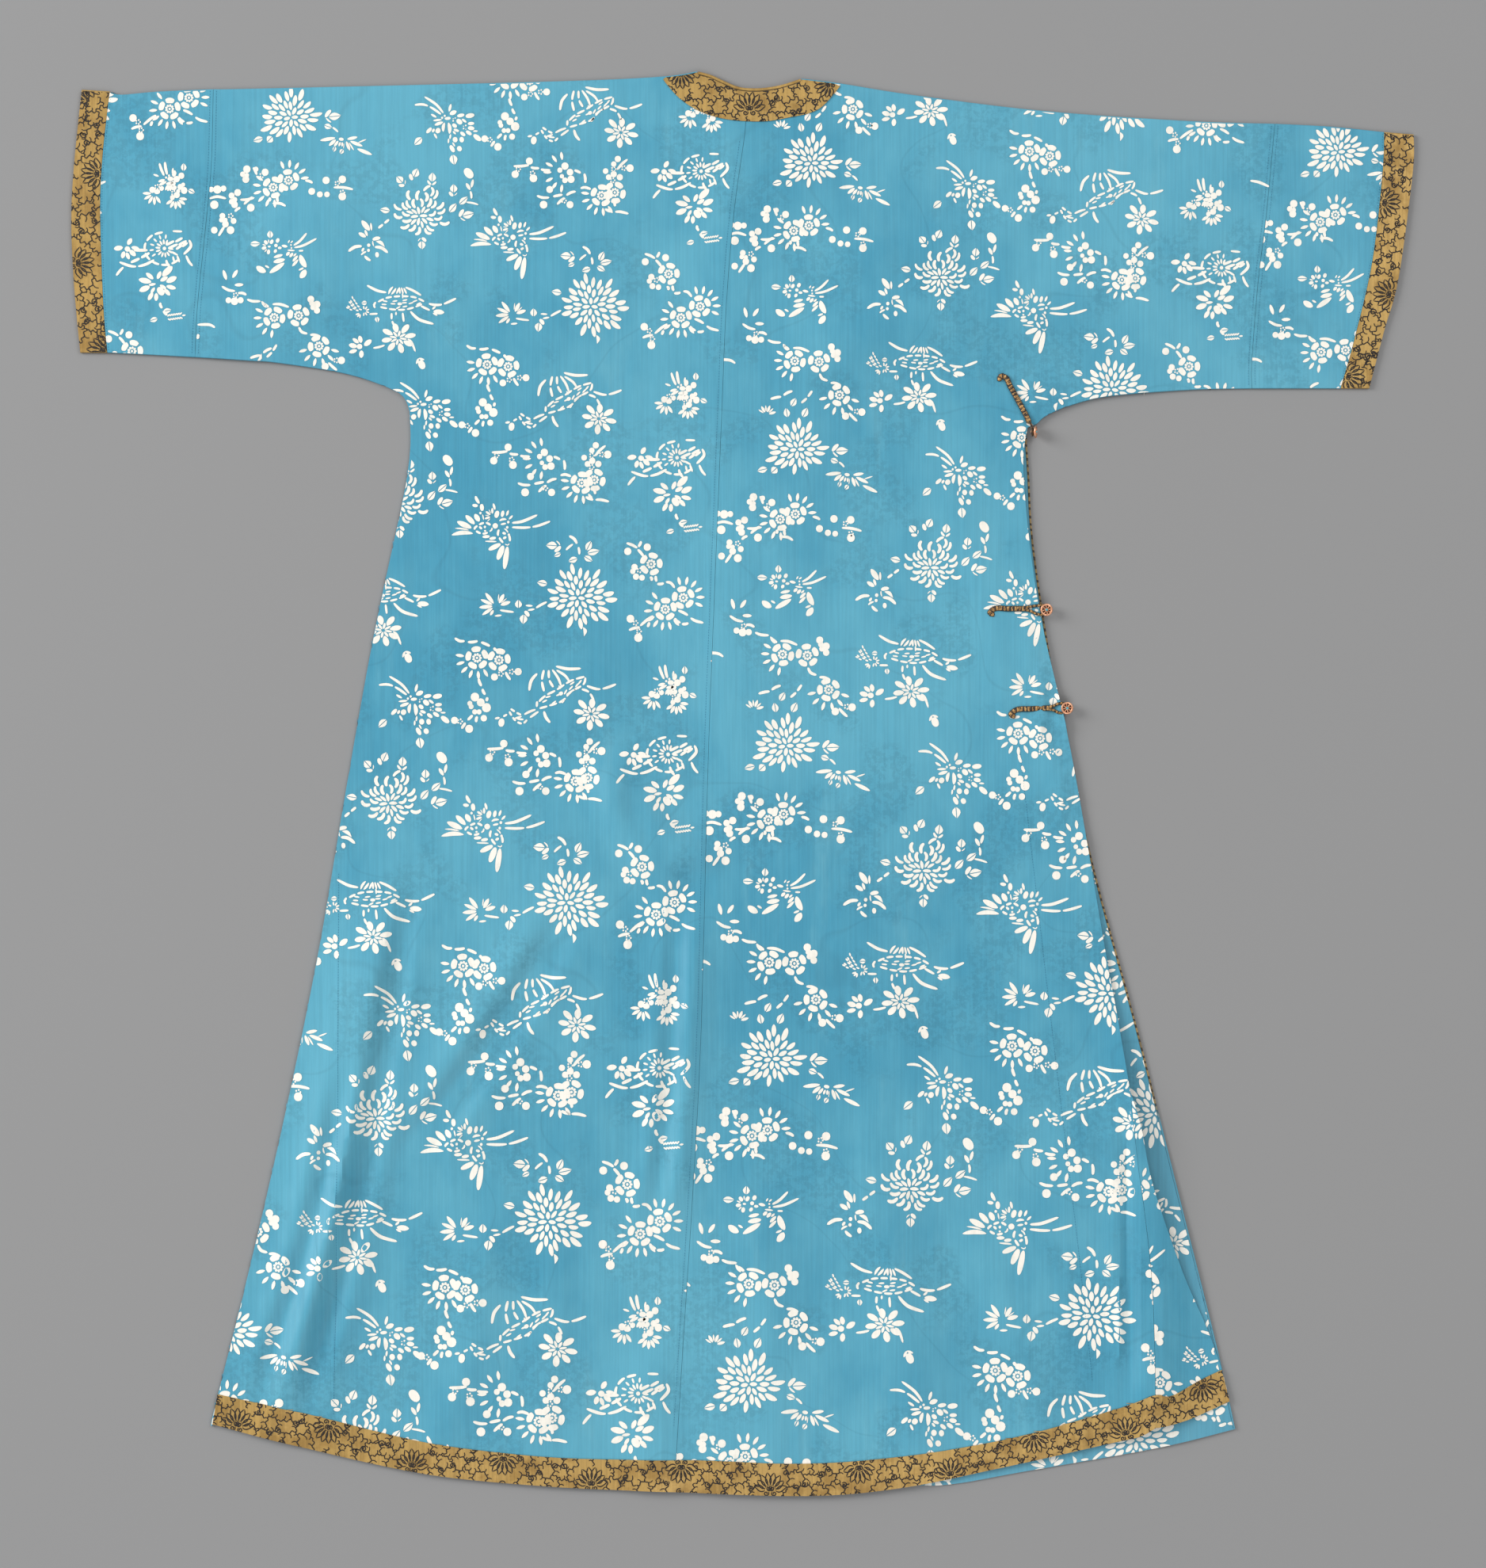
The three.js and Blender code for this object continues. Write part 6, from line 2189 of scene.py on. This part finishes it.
# ------------------------------------------------------------------ buttons
# Cast rose gilt buttons: a rolled rim round eight pierced petals and a turquoise enamel bead, on a
# shank that the loop holds.
def metal(name, light, deep, roughness):
    material, tree, paint, place = new_material(name)
    rub = ranged(tree, noise_of(tree, place, 700, 4, 0.6), 0.38, 0.64)
    tree.links.new(blended(tree, rub, light, deep), paint.inputs["Base Color"])
    tree.links.new(ranged(tree, rub, 0, 1, roughness, roughness + 0.16), paint.inputs["Roughness"])
    paint.inputs["Metallic"].default_value = 0.85
    bumped(tree, paint, noise_of(tree, place, 1600, 3), 0.25, 0.0001)
    return material


rose_gilt = metal("rose_gilt", tint(236, 184, 150), tint(204, 138, 104), 0.34)
# The dark metal of the disc under the petals is painted shade: it stands for the shadow seen through the
# piercings.
painted_recess_shade = metal("painted_recess_shade", tint(88, 54, 36), tint(50, 30, 24), 0.5)
enamel, tree, paint, place = new_material("turquoise_enamel")
pooled = ranged(tree, noise_of(tree, place, 900, 3), 0.4, 0.6)
tree.links.new(
    blended(tree, pooled, tint(98, 178, 186), tint(50, 130, 148)), paint.inputs["Base Color"]
)
paint.inputs["Roughness"].default_value = 0.22
paint.inputs["Coat Weight"].default_value = 0.5


def button_part(finish, levels=1):
    """Ends one part of the button: rounds it and gives it its finish."""
    part = bpy.context.object
    if levels:
        part.modifiers.new("round", "SUBSURF").levels = levels
        part.modifiers["round"].render_levels = levels
        bpy.ops.object.modifier_apply(modifier="round")
    part.data.materials.append(finish)
    bpy.ops.object.transform_apply(location=True, rotation=True, scale=True)
    bpy.ops.object.shade_smooth()
    return part


button_parts = []
bpy.ops.mesh.primitive_torus_add(
    major_radius=5.15 * mm, minor_radius=1.15 * mm, major_segments=32, minor_segments=8,
    location=(0, 0, 0.4 * mm)
)
button_parts.append(button_part(rose_gilt))
# A dark disc beneath the petals, whose colour is painted shade in the piercings between them.
bpy.ops.mesh.primitive_cylinder_add(vertices=32, radius=4.7 * mm, depth=0.9 * mm, location=(0, 0, 0))
bpy.ops.object.mode_set(mode="EDIT")
bpy.ops.mesh.bevel(offset=0.25 * mm, segments=2)
bpy.ops.object.mode_set(mode="OBJECT")
button_parts.append(button_part(painted_recess_shade, 0))
bpy.ops.mesh.primitive_torus_add(
    major_radius=1.75 * mm, minor_radius=0.42 * mm, major_segments=20, minor_segments=6,
    location=(0, 0, 0.85 * mm)
)
button_parts.append(button_part(rose_gilt))
bpy.ops.mesh.primitive_uv_sphere_add(
    segments=16, ring_count=8, radius=1.35 * mm, location=(0, 0, 1.0 * mm)
)
bpy.context.object.scale = (1, 1, 0.85)
button_parts.append(button_part(enamel))
for k in range(8):
    angle = math.radians(45 * k + 10)
    bpy.ops.mesh.primitive_ico_sphere_add(
        subdivisions=2, radius=mm, location=(*polar(0, 0, 3.25 * mm, angle), 0.75 * mm)
    )
    bpy.context.object.scale = (1.15, 0.58, 0.42)
    bpy.context.object.rotation_euler = (0, 0, angle)
    button_parts.append(button_part(rose_gilt, 0))
bpy.ops.mesh.primitive_cylinder_add(
    vertices=20, radius=(shank_radius - 0.1) * mm, depth=4.4 * mm, location=(0, 0, -2.4 * mm)
)
bpy.ops.object.mode_set(mode="EDIT")
bpy.ops.mesh.bevel(offset=0.3 * mm, segments=2)
bpy.ops.object.mode_set(mode="OBJECT")
button_parts.append(button_part(rose_gilt, 0))
bpy.ops.object.select_all(action="DESELECT")
for part in button_parts:
    part.select_set(True)
bpy.context.view_layer.objects.active = button_parts[0]
bpy.ops.object.join()
pattern_button = bpy.context.object

for name, tilt in [("top", math.degrees(top_tilt)), ("middle", 0), ("low", 0)]:
    low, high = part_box("button_" + name)
    button = pattern_button.copy()
    button.data = pattern_button.data.copy()
    button.name = "round_button_" + name
    bpy.context.collection.objects.link(button)
    lean = Matrix.Rotation(math.radians(tilt), 4, "Y")
    if name == "top":
        middle = Vector(frame_point(top_x, top_y, top_z))
    else:
        lean = Matrix.Rotation(math.radians(9), 4, (0.5, 1, 0))
        middle = Vector(((low[0] + high[0]) / 2, (low[1] + high[1]) / 2, high[2] - 2.5 * mm))
    button.data.transform(Matrix.Translation(middle) @ lean)
    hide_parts("button_" + name)
    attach(button, "root")
bpy.data.objects.remove(pattern_button)


# ------------------------------------------------------------------ stitching
# Running stitches in silk a shade darker than the cloth, beside the long seams and along the
# piecing lines, each stitch a small raised dash.
stitch_spacing, stitch_length, stitch_width = 2.6, 1.5, 0.42
stitch_lift = 0.12


def running_stitches(name, lines, height):
    mesh = bmesh.new()
    for line in lines:
        line = np.array(line, float)
        reach = reach_along(line)
        at = np.arange(stitch_spacing, reach[-1] - stitch_spacing, stitch_spacing)
        at = at + np.array([random.uniform(-0.25, 0.25) for _ in at])
        x, y = np.interp(at, reach, line[:, 0]), np.interp(at, reach, line[:, 1])
        dx, dy = np.interp(at + 0.5, reach, line[:, 0]) - x, np.interp(at + 0.5, reach, line[:, 1]) - y
        size = np.maximum(np.hypot(dx, dy), 1e-6)
        dx, dy = dx / size, dy / size
        z = on_cloth(height, x, y) + stitch_lift
        for k in range(len(x)):
            def point(along, across, up):
                return mesh.verts.new((
                    x[k] + dx[k] * along - dy[k] * across, y[k] + dy[k] * along + dx[k] * across,
                    z[k] + up
                ))
            end, shoulder, side = stitch_length / 2, stitch_length / 4, stitch_width / 2
            base = [
                point(-end, 0, 0), point(-shoulder, -side, 0), point(shoulder, -side, 0),
                point(end, 0, 0), point(shoulder, side, 0), point(-shoulder, side, 0),
            ]
            ridge = [point(-shoulder, 0, 0.22), point(shoulder, 0, 0.22)]
            for corners in [(0, 1, 6), (5, 0, 6), (1, 2, 7, 6), (4, 5, 6, 7), (2, 3, 7), (3, 4, 7)]:
                mesh.faces.new([(base + ridge)[c] for c in corners])
    return Sheet(mesh).finish(name, wall=0)


piecing_left = [(-396.6, -87), (-397, -300), (-399, -500), (-402, -625)]
piecing_right = [(272.6, 38.6), (286.6, -81.5), (306, -250), (330, -450), (345, -590)]
beside_centre = shifted(centre, -4.2)
body_stitches = running_stitches(
    "body_stitches",
    [
        beside_centre[(beside_centre[:, 1] < 640) & (beside_centre[:, 1] > -655)],
        shifted(smooth_line(sleeve_seam_left, 18), 3.2),
        shifted(smooth_line(sleeve_seam_right, 18), -3.2),
        smooth_line(piecing_left, 30), smooth_line(piecing_right, 30),
    ],
    back_top,
)
sleeve_stitches = running_stitches(
    "sleeve_stitches",
    [
        shifted(smooth_line(sleeve_seam_left, 18), -3.2),
        shifted(smooth_line(sleeve_seam_right, 18), 3.2),
        shifted(smooth_line(cuff_seam_left, 18), 1.6), shifted(smooth_line(cuff_seam_right, 18), -1.6),
    ],
    sleeve_top,
)
thread = silk("seam_thread", tint(40, 110, 142), tint(28, 92, 124), tint(56, 124, 150))
for stitching in (body_stitches, sleeve_stitches):
    stitching.data.materials.append(thread)
    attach(stitching, "root")
